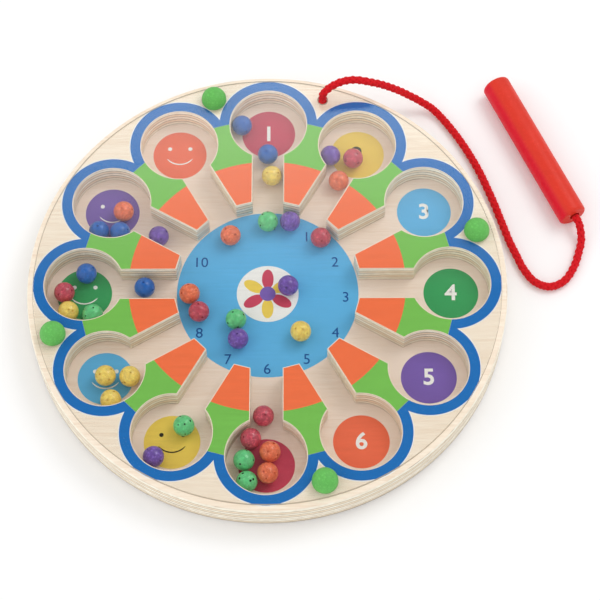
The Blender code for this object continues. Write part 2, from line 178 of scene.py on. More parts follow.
def ramp(tree: NodeTree, value: object, low: float, high: float, start: float = 0.0,
         end: float = 1.0) -> NodeSocket:
    """Map a value from one range to another, clamped.

    Args:
        tree: Node tree that gets the node.
        value: Value or socket to map.
        low: Value that gives start.
        high: Value that gives end.
        start: Result at low.
        end: Result at high.

    Returns:
        The mapped value's socket.
    """
    return add_node(tree, "ShaderNodeMapRange", {0: value, 1: low, 2: high, 3: start, 4: end}).outputs[0]


def blend_colours(tree: NodeTree, factor: object, first: object, second: object) -> NodeSocket:
    """Mix two colours.

    Args:
        tree: Node tree that gets the node.
        factor: How much of the second shows.
        first: Colour or socket shown at 0.
        second: Colour or socket shown at 1.

    Returns:
        The mixed colour's socket.
    """
    return add_node(tree, "ShaderNodeMix", {0: factor, 6: first, 7: second}, data_type="RGBA").outputs[2]


def noise(tree: NodeTree, place: object, scale: object, detail: float = 2.0) -> NodeSocket:
    """Add a noise texture and return its value.

    Args:
        tree: Node tree that gets the node.
        place: Socket with the place on the surface.
        scale: Size of the pattern, in repeats per metre.
        detail: Layers of finer noise.

    Returns:
        The noise value's socket.
    """
    inputs = {"Vector": place, "Scale": scale, "Detail": detail}
    return add_node(tree, "ShaderNodeTexNoise", inputs).outputs[0]


def object_place(tree: NodeTree) -> NodeSocket:
    """Return the socket that gives a point's place on its own object, in metres."""
    return add_node(tree, "ShaderNodeTexCoord").outputs["Object"]


# Effects that several finishes share, each a node group that is built once


class Effect:
    """A shader node group with named inputs and outputs."""

    title: str = ""
    inputs: dict[str, tuple[str, object]] = {}
    outputs: dict[str, str] = {}

    def wire(self, tree: NodeTree, source: Node, sink: Node) -> None:
        """Lay the group's nodes between its inputs and outputs.

        Args:
            tree: The group's tree.
            source: Its input node.
            sink: Its output node.
        """
        raise NotImplementedError

    def group(self) -> NodeTree:
        """Find the node group, which is built on its first use.

        Returns:
            The node group.
        """
        known = bpy.data.node_groups.get(self.title)
        if known is not None:
            return known
        tree = bpy.data.node_groups.new(self.title, "ShaderNodeTree")
        for label, (kind, value) in self.inputs.items():
            socket = tree.interface.new_socket(name=label, in_out="INPUT", socket_type=kind)
            if value is not None:
                socket.default_value = value
        for label, kind in self.outputs.items():
            tree.interface.new_socket(name=label, in_out="OUTPUT", socket_type=kind)
        self.wire(tree, tree.nodes.new("NodeGroupInput"), tree.nodes.new("NodeGroupOutput"))
        return tree

    def place(self, tree: NodeTree, **values: object) -> Node:
        """Put the group in a material.

        Args:
            tree: The material's tree.
            values: Input name to a value or a socket.

        Returns:
            The group node.
        """
        return add_node(tree, "ShaderNodeGroup", values, node_tree=self.group())


class WoodGrain(Effect):
    """Straight grain along X, a soft figure, and open pores."""

    title = "wood_grain"
    inputs = {"Place": ("NodeSocketVector", None), "Stretch": ("NodeSocketFloat", 0.05),
              "Fineness": ("NodeSocketFloat", 700.0)}
    outputs = {"Streaks": "NodeSocketFloat", "Figure": "NodeSocketFloat", "Pores": "NodeSocketFloat",
               "Height": "NodeSocketFloat"}

    FIGURE_SHARE = 0.12
    PORE_SHARE = 2.6
    STREAK_RANGE = (0.3, 0.7)
    FIGURE_RANGE = (0.35, 0.65)
    PORE_RANGE = (0.66, 0.74)

    def wire(self, tree: NodeTree, source: Node, sink: Node) -> None:
        """Lay the group's nodes between its inputs and outputs.

        Args:
            tree: The group's tree.
            source: Its input node.
            sink: Its output node.
        """
        stretch = add_node(tree, "ShaderNodeCombineXYZ", {0: source.outputs["Stretch"], 1: 1.0, 2: 1.0})
        drawn = add_node(tree, "ShaderNodeVectorMath", {0: source.outputs["Place"], 1: stretch.outputs[0]},
                         operation="MULTIPLY").outputs[0]
        fineness = source.outputs["Fineness"]
        streaks = noise(tree, drawn, fineness, 3.0)
        figure = noise(tree, drawn, maths(tree, "MULTIPLY", fineness, self.FIGURE_SHARE), 2.0)
        dots = noise(tree, drawn, maths(tree, "MULTIPLY", fineness, self.PORE_SHARE), 1.0)
        pores = ramp(tree, dots, *self.PORE_RANGE)
        tree.links.new(ramp(tree, streaks, *self.STREAK_RANGE), sink.inputs["Streaks"])
        tree.links.new(ramp(tree, figure, *self.FIGURE_RANGE), sink.inputs["Figure"])
        tree.links.new(pores, sink.inputs["Pores"])
        tree.links.new(maths(tree, "SUBTRACT", streaks, pores), sink.inputs["Height"])


class PlyLayers(Effect):
    """Crossed plies and the slightly wavy glue lines between them, by height."""

    title = "ply_layers"
    inputs = {"Place": ("NodeSocketVector", None), "Bottom": ("NodeSocketFloat", 0.0),
              "Ply": ("NodeSocketFloat", 0.003)}
    outputs = {"Crossed": "NodeSocketFloat", "Glue": "NodeSocketFloat", "Level": "NodeSocketFloat"}

    GLUE_SHARE = 0.11
    WAVE_SCALE = 55.0
    WAVE_HEIGHT = 0.0014

    def wire(self, tree: NodeTree, source: Node, sink: Node) -> None:
        """Lay the group's nodes between its inputs and outputs.

        Args:
            tree: The group's tree.
            source: Its input node.
            sink: Its output node.
        """
        wave = maths(tree, "SUBTRACT", noise(tree, source.outputs["Place"], self.WAVE_SCALE, 3.0), 0.5)
        level = add_node(tree, "ShaderNodeSeparateXYZ", {0: source.outputs["Place"]}).outputs["Z"]
        wavy = maths(tree, "ADD", level, maths(tree, "MULTIPLY", wave, self.WAVE_HEIGHT))
        above = maths(tree, "SUBTRACT", wavy, source.outputs["Bottom"])
        count = maths(tree, "DIVIDE", above, source.outputs["Ply"])
        whole = maths(tree, "FLOOR", count)
        part = maths(tree, "FRACT", count)
        crossed = maths(tree, "MODULO", whole, 2.0)
        near = maths(tree, "MINIMUM", part, maths(tree, "SUBTRACT", 1.0, part))
        glue = ramp(tree, near, self.GLUE_SHARE / 2, self.GLUE_SHARE, 1.0, 0.0)
        tree.links.new(crossed, sink.inputs["Crossed"])
        tree.links.new(wavy, sink.inputs["Level"])
        tree.links.new(glue, sink.inputs["Glue"])


class Mottle(Effect):
    """Soft unevenness of a coat of paint, with fine specks."""

    title = "paint_mottle"
    inputs = {"Place": ("NodeSocketVector", None), "Scale": ("NodeSocketFloat", 300.0),
              "Fineness": ("NodeSocketFloat", 7.0)}
    outputs = {"Cloud": "NodeSocketFloat", "Specks": "NodeSocketFloat", "Height": "NodeSocketFloat"}

    CLOUD_RANGE = (0.3, 0.7)
    SPECK_RANGE = (0.53, 0.68)
    SPECK_HEIGHT = 0.35

    def wire(self, tree: NodeTree, source: Node, sink: Node) -> None:
        """Lay the group's nodes between its inputs and outputs.

        Args:
            tree: The group's tree.
            source: Its input node.
            sink: Its output node.
        """
        cloud = noise(tree, source.outputs["Place"], source.outputs["Scale"], 2.0)
        fine = maths(tree, "MULTIPLY", source.outputs["Scale"], source.outputs["Fineness"])
        specks = noise(tree, source.outputs["Place"], fine, 2.0)
        height = maths(tree, "ADD", cloud, maths(tree, "MULTIPLY", specks, self.SPECK_HEIGHT))
        tree.links.new(ramp(tree, cloud, *self.CLOUD_RANGE), sink.inputs["Cloud"])
        tree.links.new(ramp(tree, specks, *self.SPECK_RANGE), sink.inputs["Specks"])
        tree.links.new(height, sink.inputs["Height"])


class EdgeWear(Effect):
    """Where handling has thinned the paint on outer edges."""

    title = "edge_wear"
    inputs = {"Place": ("NodeSocketVector", None), "Scale": ("NodeSocketFloat", 400.0)}
    outputs = {"Worn": "NodeSocketFloat"}

    EDGE_RANGE = (0.52, 0.60)
    PATCH_RANGE = (0.45, 0.65)

    def wire(self, tree: NodeTree, source: Node, sink: Node) -> None:
        """Lay the group's nodes between its inputs and outputs.

        Args:
            tree: The group's tree.
            source: Its input node.
            sink: Its output node.
        """
        point = add_node(tree, "ShaderNodeNewGeometry").outputs["Pointiness"]
        edge = ramp(tree, point, *self.EDGE_RANGE)
        clouds = noise(tree, source.outputs["Place"], source.outputs["Scale"], 3.0)
        patch = ramp(tree, clouds, *self.PATCH_RANGE)
        tree.links.new(maths(tree, "MULTIPLY", edge, patch), sink.inputs["Worn"])


class SunFade(Effect):
    """Painted shade: mask of the side of a piece that faces away from the light, which takes a darker colour.
    """

    title = "painted_shade_side"
    inputs = {"Normal": ("NodeSocketVector", None), "Away": ("NodeSocketVector", (0.0, 0.0, -1.0))}
    outputs = {"Deep": "NodeSocketFloat"}

    TURN_RANGE = (0.12, 0.42)

    def wire(self, tree: NodeTree, source: Node, sink: Node) -> None:
        """Lay the group's nodes between its inputs and outputs.

        Args:
            tree: The group's tree.
            source: Its input node.
            sink: Its output node.
        """
        inputs = {0: source.outputs["Normal"], 1: source.outputs["Away"]}
        facing = add_node(tree, "ShaderNodeVectorMath", inputs, operation="DOT_PRODUCT").outputs["Value"]
        tree.links.new(ramp(tree, facing, *self.TURN_RANGE), sink.inputs["Deep"])


# Finishes


class Finish:
    """A material that is made once and then shared."""

    title: str

    def shade(self, tree: NodeTree, skin: Node) -> None:
        """Feed the Principled shader of the finish.

        Args:
            tree: The material's tree.
            skin: Its Principled BSDF.
        """
        raise NotImplementedError

    def material(self) -> Material:
        """Find the material, which is made on its first use.

        Returns:
            The material.
        """
        known = bpy.data.materials.get(self.title)
        if known is not None:
            return known
        made = bpy.data.materials.new(self.title)
        made.use_nodes = True
        self.shade(made.node_tree, made.node_tree.nodes["Principled BSDF"])
        return made

    @staticmethod
    def emboss(tree: NodeTree, skin: Node, height: NodeSocket, strength: float, depth: float) -> None:
        """Feed a height to the shader's normal.

        Args:
            tree: The material's tree.
            skin: Its Principled BSDF.
            height: Socket with the height.
            strength: Strength of the bump.
            depth: Depth of the bump, in metres.
        """
        bump = add_node(tree, "ShaderNodeBump", {"Height": height, "Strength": strength, "Distance": depth})
        tree.links.new(bump.outputs[0], skin.inputs["Normal"])


@dataclass(frozen=True)
class BirchPly(Finish):
    """Clear-lacquered birch plywood: a pale veneer, and crossed plies on cut edges."""

    title: str
    bottom: float
    ply: float
    face: Colour = screen(252, 238, 219)
    face_shade: Colour = screen(238, 216, 191)
    long_ply: Colour = screen(255, 250, 234)
    cross_ply: Colour = screen(246, 230, 204)
    glue: Colour = screen(104, 78, 52)
    # Painted shadow: colour and share of the darkening at the foot of the side, where the board meets the
    # floor.
    soil: Colour = screen(112, 94, 72)
    soiled: float = 0.0
    pore: Colour = screen(212, 188, 156)
    roughness: float = 0.5
    specular: float = 0.3

    SOIL_TOP = 0.0032
    SOIL_BOTTOM = 0.0016
    FLAT_RANGE = (0.7, 0.8)
    FIGURE_SHOWS = 0.5
    PORES_SHOW = 0.35
    END_GRAIN_SHOWS = 0.35
    END_GRAIN_SCALE = 260.0
    GLUE_SHOWS = 0.9
    ROUGHER = 0.08
    RELIEF = 0.25
    RELIEF_DEPTH = 0.00012

    def shade(self, tree: NodeTree, skin: Node) -> None:
        """Feed the Principled shader of the finish.

        Args:
            tree: The material's tree.
            skin: Its Principled BSDF.
        """
        place = object_place(tree)
        grain = WoodGrain().place(tree, Place=place)
        end_grain = Mottle().place(tree, Place=place, Scale=self.END_GRAIN_SCALE)
        layers = PlyLayers().place(tree, Place=place, Bottom=self.bottom, Ply=self.ply)
        normal = add_node(tree, "ShaderNodeNewGeometry").outputs["Normal"]
        upright = maths(tree, "ABSOLUTE", add_node(tree, "ShaderNodeSeparateXYZ", {0: normal}).outputs["Z"])
        flat = ramp(tree, upright, *self.FLAT_RANGE)
        figure = maths(tree, "MULTIPLY", grain.outputs["Figure"], self.FIGURE_SHOWS)
        pores = maths(tree, "MULTIPLY", grain.outputs["Pores"], self.PORES_SHOW)
        ends = maths(tree, "MULTIPLY", end_grain.outputs["Cloud"], self.END_GRAIN_SHOWS)
        glue = maths(tree, "MULTIPLY", layers.outputs["Glue"], self.GLUE_SHOWS)
        streaked = blend_colours(tree, grain.outputs["Streaks"], self.face_shade, self.face)
        figured = blend_colours(tree, figure, streaked, self.face)
        veneer = blend_colours(tree, pores, figured, self.pore)
        plies = blend_colours(tree, layers.outputs["Crossed"], self.long_ply, self.cross_ply)
        plies = blend_colours(tree, ends, plies, self.pore)
        edge = blend_colours(tree, glue, plies, self.glue)
        # Painted shadow: the side darkens over its lowest few millimetres, towards the floor.
        low = ramp(tree, layers.outputs["Level"], self.SOIL_TOP, self.SOIL_BOTTOM, 0.0, self.soiled)
        foot = blend_colours(tree, low, edge, self.soil)
        rough = ramp(tree, grain.outputs["Streaks"], 0.0, 1.0, self.roughness + self.ROUGHER, self.roughness)
        tree.links.new(blend_colours(tree, flat, foot, veneer), skin.inputs["Base Color"])
        tree.links.new(rough, skin.inputs["Roughness"])
        skin.inputs["Specular IOR Level"].default_value = self.specular
        self.emboss(tree, skin, grain.outputs["Height"], self.RELIEF, self.RELIEF_DEPTH)


@dataclass(frozen=True)
class PrintedInk(Finish):
    """Screen-printed ink with the wood's grain showing through a little."""

    title: str
    ink: Ink
    roughness: float = 0.5
    specular: float = 0.15

    DEEPER = 0.84
    GRAIN_SHOWS = 0.5
    CLOUD_SHOWS = 0.2
    CLOUD_SCALE = 180.0
    ROUGHER = 0.08
    RELIEF = 0.15
    RELIEF_DEPTH = 0.0001

    def shade(self, tree: NodeTree, skin: Node) -> None:
        """Feed the Principled shader of the finish.

        Args:
            tree: The material's tree.
            skin: Its Principled BSDF.
        """
        place = object_place(tree)
        grain = WoodGrain().place(tree, Place=place)
        mottle = Mottle().place(tree, Place=place, Scale=self.CLOUD_SCALE)
        deeper = toned(self.ink.value, self.DEEPER)
        streaks = maths(tree, "MULTIPLY", grain.outputs["Streaks"], self.GRAIN_SHOWS)
        body = blend_colours(tree, streaks, self.ink.value, deeper)
        clouds = maths(tree, "MULTIPLY", mottle.outputs["Cloud"], self.CLOUD_SHOWS)
        tree.links.new(blend_colours(tree, clouds, body, deeper), skin.inputs["Base Color"])
        rough = ramp(tree, mottle.outputs["Cloud"], 0.0, 1.0, self.roughness, self.roughness + self.ROUGHER)
        tree.links.new(rough, skin.inputs["Roughness"])
        skin.inputs["Specular IOR Level"].default_value = self.specular
        self.emboss(tree, skin, grain.outputs["Height"], self.RELIEF, self.RELIEF_DEPTH)


@dataclass(frozen=True)
class ClearAcrylic(Finish):
    """Polished clear sheet with a few soft smears, that light passes through."""

    title: str = "clear_acrylic_sheet"
    tint: Colour = screen(253, 253, 252)
    clearness: Colour = screen(252, 252, 251)
    transmission: float = 1.0
    least_roughness: float = 0.0

    REFRACTION = 1.49
    SMEAR_SCALE = 26.0
    SMEAR_START = 0.2
    SMEAR_ROUGHNESS = 0.05

    def shade(self, tree: NodeTree, skin: Node) -> None:
        """Feed the Principled shader of the finish.

        Args:
            tree: The material's tree.
            skin: Its Principled BSDF.
        """
        smears = Mottle().place(tree, Place=object_place(tree), Scale=self.SMEAR_SCALE)
        skin.inputs["Base Color"].default_value = self.tint
        skin.inputs["Transmission Weight"].default_value = self.transmission
        skin.inputs["IOR"].default_value = self.REFRACTION
        most = self.least_roughness + self.SMEAR_ROUGHNESS
        rough = ramp(tree, smears.outputs["Cloud"], self.SMEAR_START, 1.0, self.least_roughness, most)
        tree.links.new(rough, skin.inputs["Roughness"])
        rays = add_node(tree, "ShaderNodeLightPath")
        passing = maths(tree, "MAXIMUM", rays.outputs["Is Shadow Ray"], rays.outputs["Is Diffuse Ray"])
        through = add_node(tree, "ShaderNodeBsdfTransparent", {"Color": self.clearness})
        both = add_node(tree, "ShaderNodeMixShader", {0: passing, 1: skin.outputs[0], 2: through.outputs[0]})
        tree.links.new(both.outputs[0], tree.nodes["Material Output"].inputs["Surface"])


@dataclass(frozen=True)
class GlossPaint(Finish):
    """Brushed paint on a turned piece, thinned a little on its edges."""

    title: str
    paint: Colour
    worn: Colour = screen(236, 214, 180)
    roughness: float = 0.38
    specular: float = 0.3
    coat: float = 0.1
    coat_roughness: float = 0.22
    cloud: float = 0.25
    specks: float = 0.2
    wear: float = 0.0
    scale: float = 300.0
    fineness: float = 7.0
    relief: float = 0.12
    # Painted shade: colour of the side that faces away from the light, if any.
    deep: Colour | None = None
    away: tuple[float, float, float] = (0.0, 0.0, -1.0)

    DEEPER = 0.72
    PALER = 1.4
    PALER_LIFT = 0.03
    ROUGHER = 0.1
    RELIEF_DEPTH = 0.0002

    def shade(self, tree: NodeTree, skin: Node) -> None:
        """Feed the Principled shader of the finish.

        Args:
            tree: The material's tree.
            skin: Its Principled BSDF.
        """
        place = object_place(tree)
        mottle = Mottle().place(tree, Place=place, Scale=self.scale, Fineness=self.fineness)
        deeper = toned(self.paint, self.DEEPER)
        paler = toned(self.paint, self.PALER, self.PALER_LIFT)
        clouds = maths(tree, "MULTIPLY", mottle.outputs["Cloud"], self.cloud)
        specks = maths(tree, "MULTIPLY", mottle.outputs["Specks"], self.specks)
        body = blend_colours(tree, clouds, self.paint, deeper)
        # Painted shade: the side facing away from the light is mixed towards the darker colour.
        if self.deep is not None:
            normal = add_node(tree, "ShaderNodeTexCoord").outputs["Normal"]
            shade_side = SunFade().place(tree, Normal=normal, Away=self.away)
            body = blend_colours(tree, shade_side.outputs["Deep"], body, self.deep)
        body = blend_colours(tree, specks, body, paler)
        edge = EdgeWear().place(tree, Place=place)
        thinned = maths(tree, "MULTIPLY", edge.outputs["Worn"], self.wear)
        rough = ramp(tree, mottle.outputs["Cloud"], 0.0, 1.0, self.roughness, self.roughness + self.ROUGHER)
        tree.links.new(blend_colours(tree, thinned, body, self.worn), skin.inputs["Base Color"])
        tree.links.new(rough, skin.inputs["Roughness"])
        skin.inputs["Specular IOR Level"].default_value = self.specular
        skin.inputs["Coat Weight"].default_value = self.coat
        skin.inputs["Coat Roughness"].default_value = self.coat_roughness
        self.emboss(tree, skin, mottle.outputs["Height"], self.relief, self.RELIEF_DEPTH)


@dataclass(frozen=True)
class Pit(Finish):
    """Dull, darker bottom of a small hole in a bead."""

    title: str
    dark: Colour
    roughness: float = 0.8

    CLOUD_SCALE = 900.0
    PALER = 1.3

    def shade(self, tree: NodeTree, skin: Node) -> None:
        """Feed the Principled shader of the finish.

        Args:
            tree: The material's tree.
            skin: Its Principled BSDF.
        """
        mottle = Mottle().place(tree, Place=object_place(tree), Scale=self.CLOUD_SCALE)
        base = blend_colours(tree, mottle.outputs["Cloud"], self.dark, toned(self.dark, self.PALER))
        tree.links.new(base, skin.inputs["Base Color"])
        skin.inputs["Roughness"].default_value = self.roughness


@dataclass(frozen=True)
class NickelPlate(Finish):
    """Nickel-plated magnet with fine specks and dull patches."""

    title: str = "magnet_nickel"
    metal: Colour = screen(178, 178, 182)
    dull: Colour = screen(128, 126, 126)
    polished_roughness: float = 0.24
    dull_roughness: float = 0.42

    CLOUD_SCALE = 500.0
    RELIEF = 0.08
    RELIEF_DEPTH = 0.0001

    def shade(self, tree: NodeTree, skin: Node) -> None:
        """Feed the Principled shader of the finish.

        Args:
            tree: The material's tree.
            skin: Its Principled BSDF.
        """
        mottle = Mottle().place(tree, Place=object_place(tree), Scale=self.CLOUD_SCALE)
        cloud = mottle.outputs["Cloud"]
        tree.links.new(blend_colours(tree, cloud, self.metal, self.dull), skin.inputs["Base Color"])
        skin.inputs["Metallic"].default_value = 1.0
        rough = ramp(tree, cloud, 0.0, 1.0, self.polished_roughness, self.dull_roughness)
        tree.links.new(rough, skin.inputs["Roughness"])
        self.emboss(tree, skin, mottle.outputs["Height"], self.RELIEF, self.RELIEF_DEPTH)


@dataclass(frozen=True)
class BraidedYarn(Finish):
    """Red braid: slightly hairy yarn, with painted shade in the hollows between the yarns."""

    title: str = "cord_yarn"
    yarn: Colour = screen(212, 12, 26)
    deep: Colour = screen(104, 2, 12)
    fuzz: Colour = screen(232, 48, 52)
    roughness: float = 0.78
    specular: float = 0.15
    sheen: float = 0.06

    HAIR_SCALE = 1500.0
    HAIRS_SHOW = 0.35
    RAISED_RANGE = (0.44, 0.54)
    RELIEF = 0.5
    RELIEF_DEPTH = 0.0001

    def shade(self, tree: NodeTree, skin: Node) -> None:
        """Feed the Principled shader of the finish.

        Args:
            tree: The material's tree.
            skin: Its Principled BSDF.
        """
        place = object_place(tree)
        hairs = Mottle().place(tree, Place=place, Scale=self.HAIR_SCALE)
        # Painted shade: hollow places, found by pointiness, take the darker colour.
        point = add_node(tree, "ShaderNodeNewGeometry").outputs["Pointiness"]
        raised = ramp(tree, point, *self.RAISED_RANGE)
        fuzzy = maths(tree, "MULTIPLY", hairs.outputs["Cloud"], self.HAIRS_SHOW)
        yarn = blend_colours(tree, fuzzy, self.yarn, self.fuzz)
        tree.links.new(blend_colours(tree, raised, self.deep, yarn), skin.inputs["Base Color"])
        skin.inputs["Roughness"].default_value = self.roughness
        skin.inputs["Specular IOR Level"].default_value = self.specular
        skin.inputs["Sheen Weight"].default_value = self.sheen
        self.emboss(tree, skin, hairs.outputs["Height"], self.RELIEF, self.RELIEF_DEPTH)


# Mesh helpers


def bake_mesh(item: Object) -> Mesh:
    """Take an object's evaluated mesh, welded and with whole flat faces, and remove the object.

    Args:
        item: Object to evaluate.

    Returns:
        Its mesh in world coordinates.
    """
    bpy.context.view_layer.update()
    graph = bpy.context.evaluated_depsgraph_get()
    mesh = bpy.data.meshes.new_from_object(item.evaluated_get(graph))
    shape = bmesh.new()
    shape.from_mesh(mesh)
    bmesh.ops.transform(shape, matrix=item.matrix_world, verts=shape.verts)
    bmesh.ops.remove_doubles(shape, verts=shape.verts, dist=MERGE_DISTANCE)
    bmesh.ops.dissolve_limit(shape, angle_limit=FLAT_ANGLE, verts=shape.verts, edges=shape.edges)
    shape.to_mesh(mesh)
    shape.free()
    mesh.name = item.name
    mesh.materials.clear()
    bpy.data.objects.remove(item, do_unlink=True)
    return mesh


def loose_object(name: str, data: ID) -> Object:
    """Link data to the scene as a new object.

    Args:
        name: Name of the object.
        data: Its mesh, curve, camera or lamp.

    Returns:
        The new object.
    """
    item = bpy.data.objects.new(name, data)
    bpy.context.scene.collection.objects.link(item)
    return item


def arc(centre_x: float, centre_z: float, radius_x: float, radius_z: float, start: float, end: float,
        steps: int) -> Profile:
    """Points of an elliptic arc.

    Args:
        centre_x: Centre, first coordinate.
        centre_z: Centre, second coordinate.
        radius_x: Radius along the first coordinate.
        radius_z: Radius along the second.
        start: First angle, in degrees.
        end: Last angle, in degrees.
        steps: Number of steps.

    Returns:
        The points from start to end.
    """
    angles = [math.radians(start + (end - start) * step / steps) for step in range(steps + 1)]
    return [(centre_x + radius_x * math.cos(angle), centre_z + radius_z * math.sin(angle))
            for angle in angles]


def disc_profile(radius: float, bottom: float, top: float, round_bottom: float, round_top: float,
                 steps: int = 6) -> Profile:
    """Profile of a disc with rounded outer edges, from the top of the axis down its outer side.

    Args:
        radius: Disc radius.
        bottom: Level of its underside.
        top: Level of its top.
        round_bottom: Rounding of the lower edge.
        round_top: Rounding of the upper edge.
        steps: Steps across each rounding.

    Returns:
        The profile's points.
    """
    points = [(0.0, top)]
    points += arc(radius - round_top, top - round_top, round_top, round_top, 90, 0, steps)
    points += arc(radius - round_bottom, bottom + round_bottom, round_bottom, round_bottom, 0, -90, steps)
    points.append((0.0, bottom))
    return points


def lathe(name: str, profile: Profile, steps: int) -> Mesh:
    """Turn a profile about Z.

    Args:
        name: Name of the mesh.
        profile: Points from the top of the axis down the outer side.
        steps: Steps round the axis.

    Returns:
        The turned mesh.
    """
    mesh = bpy.data.meshes.new(name)
    edges = [(index, index + 1) for index in range(len(profile) - 1)]
    mesh.from_pydata([(x, 0.0, z) for x, z in profile], edges, [])
    item = loose_object(name, mesh)
    screw = item.modifiers.new("Turn", "SCREW")
    screw.steps = steps
    screw.render_steps = steps
    screw.use_merge_vertices = True
    screw.merge_threshold = MERGE_DISTANCE
    return bake_mesh(item)


def slab(name: str, outlines: list[Outline], bottom: float, top: float) -> Mesh:
    """Make a flat piece from closed outlines, of which an inner one is a hole.

    Args:
        name: Name of the mesh.
        outlines: Closed outlines in the plane.
        bottom: Level of the underside.
        top: Level of the top.

    Returns:
        The flat mesh.
    """
    curve = bpy.data.curves.new(name, "CURVE")
    curve.dimensions = "2D"
    curve.fill_mode = "BOTH"
    curve.extrude = (top - bottom) / 2
    for outline in outlines:
        spline = curve.splines.new("POLY")
        spline.points.add(len(outline) - 1)
        for target, point in zip(spline.points, outline):
            target.co = (point.x, point.y, 0.0, 1.0)
        spline.use_cyclic_u = True
    item = loose_object(name, curve)
    item.location.z = (bottom + top) / 2
    return bake_mesh(item)


def cylinders(name: str, bores: list[Bore], steps: int = 48) -> Mesh:
    """Make upright cylinders for cutting bores.

    Args:
        name: Name of the mesh.
        bores: For each bore its x, y, radius, bottom and top.
        steps: Sides of each cylinder.

    Returns:
        One mesh with all the cylinders.
    """
    shape = bmesh.new()
    for x, y, radius, bottom, top in bores:
        place = Matrix.Translation((x, y, (bottom + top) / 2))
        bmesh.ops.create_cone(shape, cap_ends=True, segments=steps, radius1=radius, radius2=radius,
                              depth=top - bottom, matrix=place)
    mesh = bpy.data.meshes.new(name)
    shape.to_mesh(mesh)
    shape.free()
    return mesh


def carve(mesh: Mesh, cutters: list[Mesh]) -> Mesh:
    """Cut a mesh with others.

    Args:
        mesh: Mesh to cut.
        cutters: Meshes that are taken away from it.

    Returns:
        The cut mesh.
    """
    item = loose_object(mesh.name, mesh)
    tools = []
    for cutter in cutters:
        tool = loose_object(cutter.name, cutter)
        boolean = item.modifiers.new(cutter.name, "BOOLEAN")
        boolean.operation = "DIFFERENCE"
        boolean.solver = "EXACT"
        boolean.object = tool
        tools.append(tool)
    cut_mesh = bake_mesh(item)
    for tool in tools:
        bpy.data.objects.remove(tool, do_unlink=True)
    return cut_mesh


def ease_edges(mesh: Mesh, width: float, segments: int = 2, angle: float = 50.0) -> Mesh:
    """Round the sharp edges of a mesh.

    Args:
        mesh: Mesh to change.
        width: Width of the rounding.
        segments: Faces across it.
        angle: Least angle of an edge that is rounded, in degrees.

    Returns:
        The same mesh.
    """
    shape = bmesh.new()
    shape.from_mesh(mesh)
    limit = math.radians(angle)
    sharp = [edge for edge in shape.edges if edge.is_manifold and edge.calc_face_angle() > limit]
    bmesh.ops.bevel(shape, geom=sharp, offset=width, segments=segments, profile=0.5, affect="EDGES",
                    clamp_overlap=True)
    shape.to_mesh(mesh)
    shape.free()
    return mesh


def smooth(mesh: Mesh, angle: float = 32.0, flat_corners: int = 12) -> Mesh:
    """Shade a mesh smooth up to an angle between its faces, with large flat faces left flat.

    Args:
        mesh: Mesh to shade.
        angle: Angle from which an edge stays sharp, in degrees.
        flat_corners: Corners from which a face counts as a large flat one.

    Returns:
        The same mesh.
    """
    mesh.shade_smooth()
    mesh.set_sharp_from_angle(angle=math.radians(angle))
    for face in mesh.polygons:
        if face.loop_total >= flat_corners:
            for loop in face.loop_indices:
                mesh.edges[mesh.loops[loop].edge_index].use_edge_sharp = True
    return mesh


def join_meshes(name: str, meshes: list[Mesh]) -> Mesh:
    """Join meshes into one.

    Args:
        name: Name of the joined mesh.
        meshes: Meshes in the same coordinates.

    Returns:
        The joined mesh.
    """
    shape = bmesh.new()
    for mesh in meshes:
        shape.from_mesh(mesh)
    joined = bpy.data.meshes.new(name)
    shape.to_mesh(joined)
    shape.free()
    return joined


def loft(rings: list[list[Vector]], vertices: list[Vector], faces: list[list[int]]) -> None:
    """Skin rings of points into a closed tube, added to lists of vertices and faces.

    Args:
        rings: Rings with equal numbers of points.
        vertices: Vertices so far.
        faces: Faces so far.
    """
    start = len(vertices)
    sides = len(rings[0])
    for ring in rings:
        vertices.extend(ring)
    for row in range(len(rings) - 1):
        here = start + row * sides
        for side in range(sides):
            after = (side + 1) % sides
            faces.append([here + side, here + after, here + sides + after, here + sides + side])
    last = start + (len(rings) - 1) * sides
    faces.append([start + side for side in reversed(range(sides))])
    faces.append([last + side for side in range(sides)])


def fit_piece(name: str, mesh: Mesh, finishes: list[Finish], body: str,
              stands_for: tuple[str, ...] = (), place: Matrix | None = None) -> Object:
    """Put a finished piece on its body.

    Args:
        name: Name of the piece.
        mesh: Its mesh.
        finishes: Its finishes, in the order of the mesh's material numbers.
        body: Body that it moves with.
        stands_for: Frame nodes that it replaces.
        place: Where the mesh stands, if it isn't in place already.

    Returns:
        The piece.
    """
    for finish in finishes:
        mesh.materials.append(finish.material())
    item = loose_object(name, mesh)
    if place is not None:
        item.matrix_world = place
    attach(item, body)
    if stands_for:
        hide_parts(*stands_for)
    LOG.info("%s rides on %s, %d faces", name, body, len(mesh.polygons))
    return item


def middle_of(node: str) -> Vector:
    """Return the middle of a frame node's box."""
    low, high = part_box(node)
    return (low + high) / 2


def wand_line() -> tuple[Vector, Vector]:
    """Return the wand's middle and the direction from there to its cord."""
    handle = middle_of("wand_handle")
    return handle, (handle - middle_of("wand_magnet")).normalized()


def fixing_bores(peg_diameter: float, peg_floor: float, cord_diameter: float, floor: float,
                 top: float) -> list[Bore]:
    """Bores for the four pegs and the cord.

    Args:
        peg_diameter: Diameter of the pegs' bores.
        peg_floor: Level of their floors.
        cord_diameter: Diameter of the cord's bore.
        floor: Level of its floor.
        top: Level that all of them are cut up to.

    Returns:
        For each bore its x, y, radius, bottom and top.
    """
    bores = []
    for node in PEG_NODES:
        peg = middle_of(node)
        bores.append((peg.x, peg.y, peg_diameter / 2, peg_floor, top))
    knot = middle_of("cord_knot")
    bores.append((knot.x, knot.y, cord_diameter / 2, floor, top))
    return bores


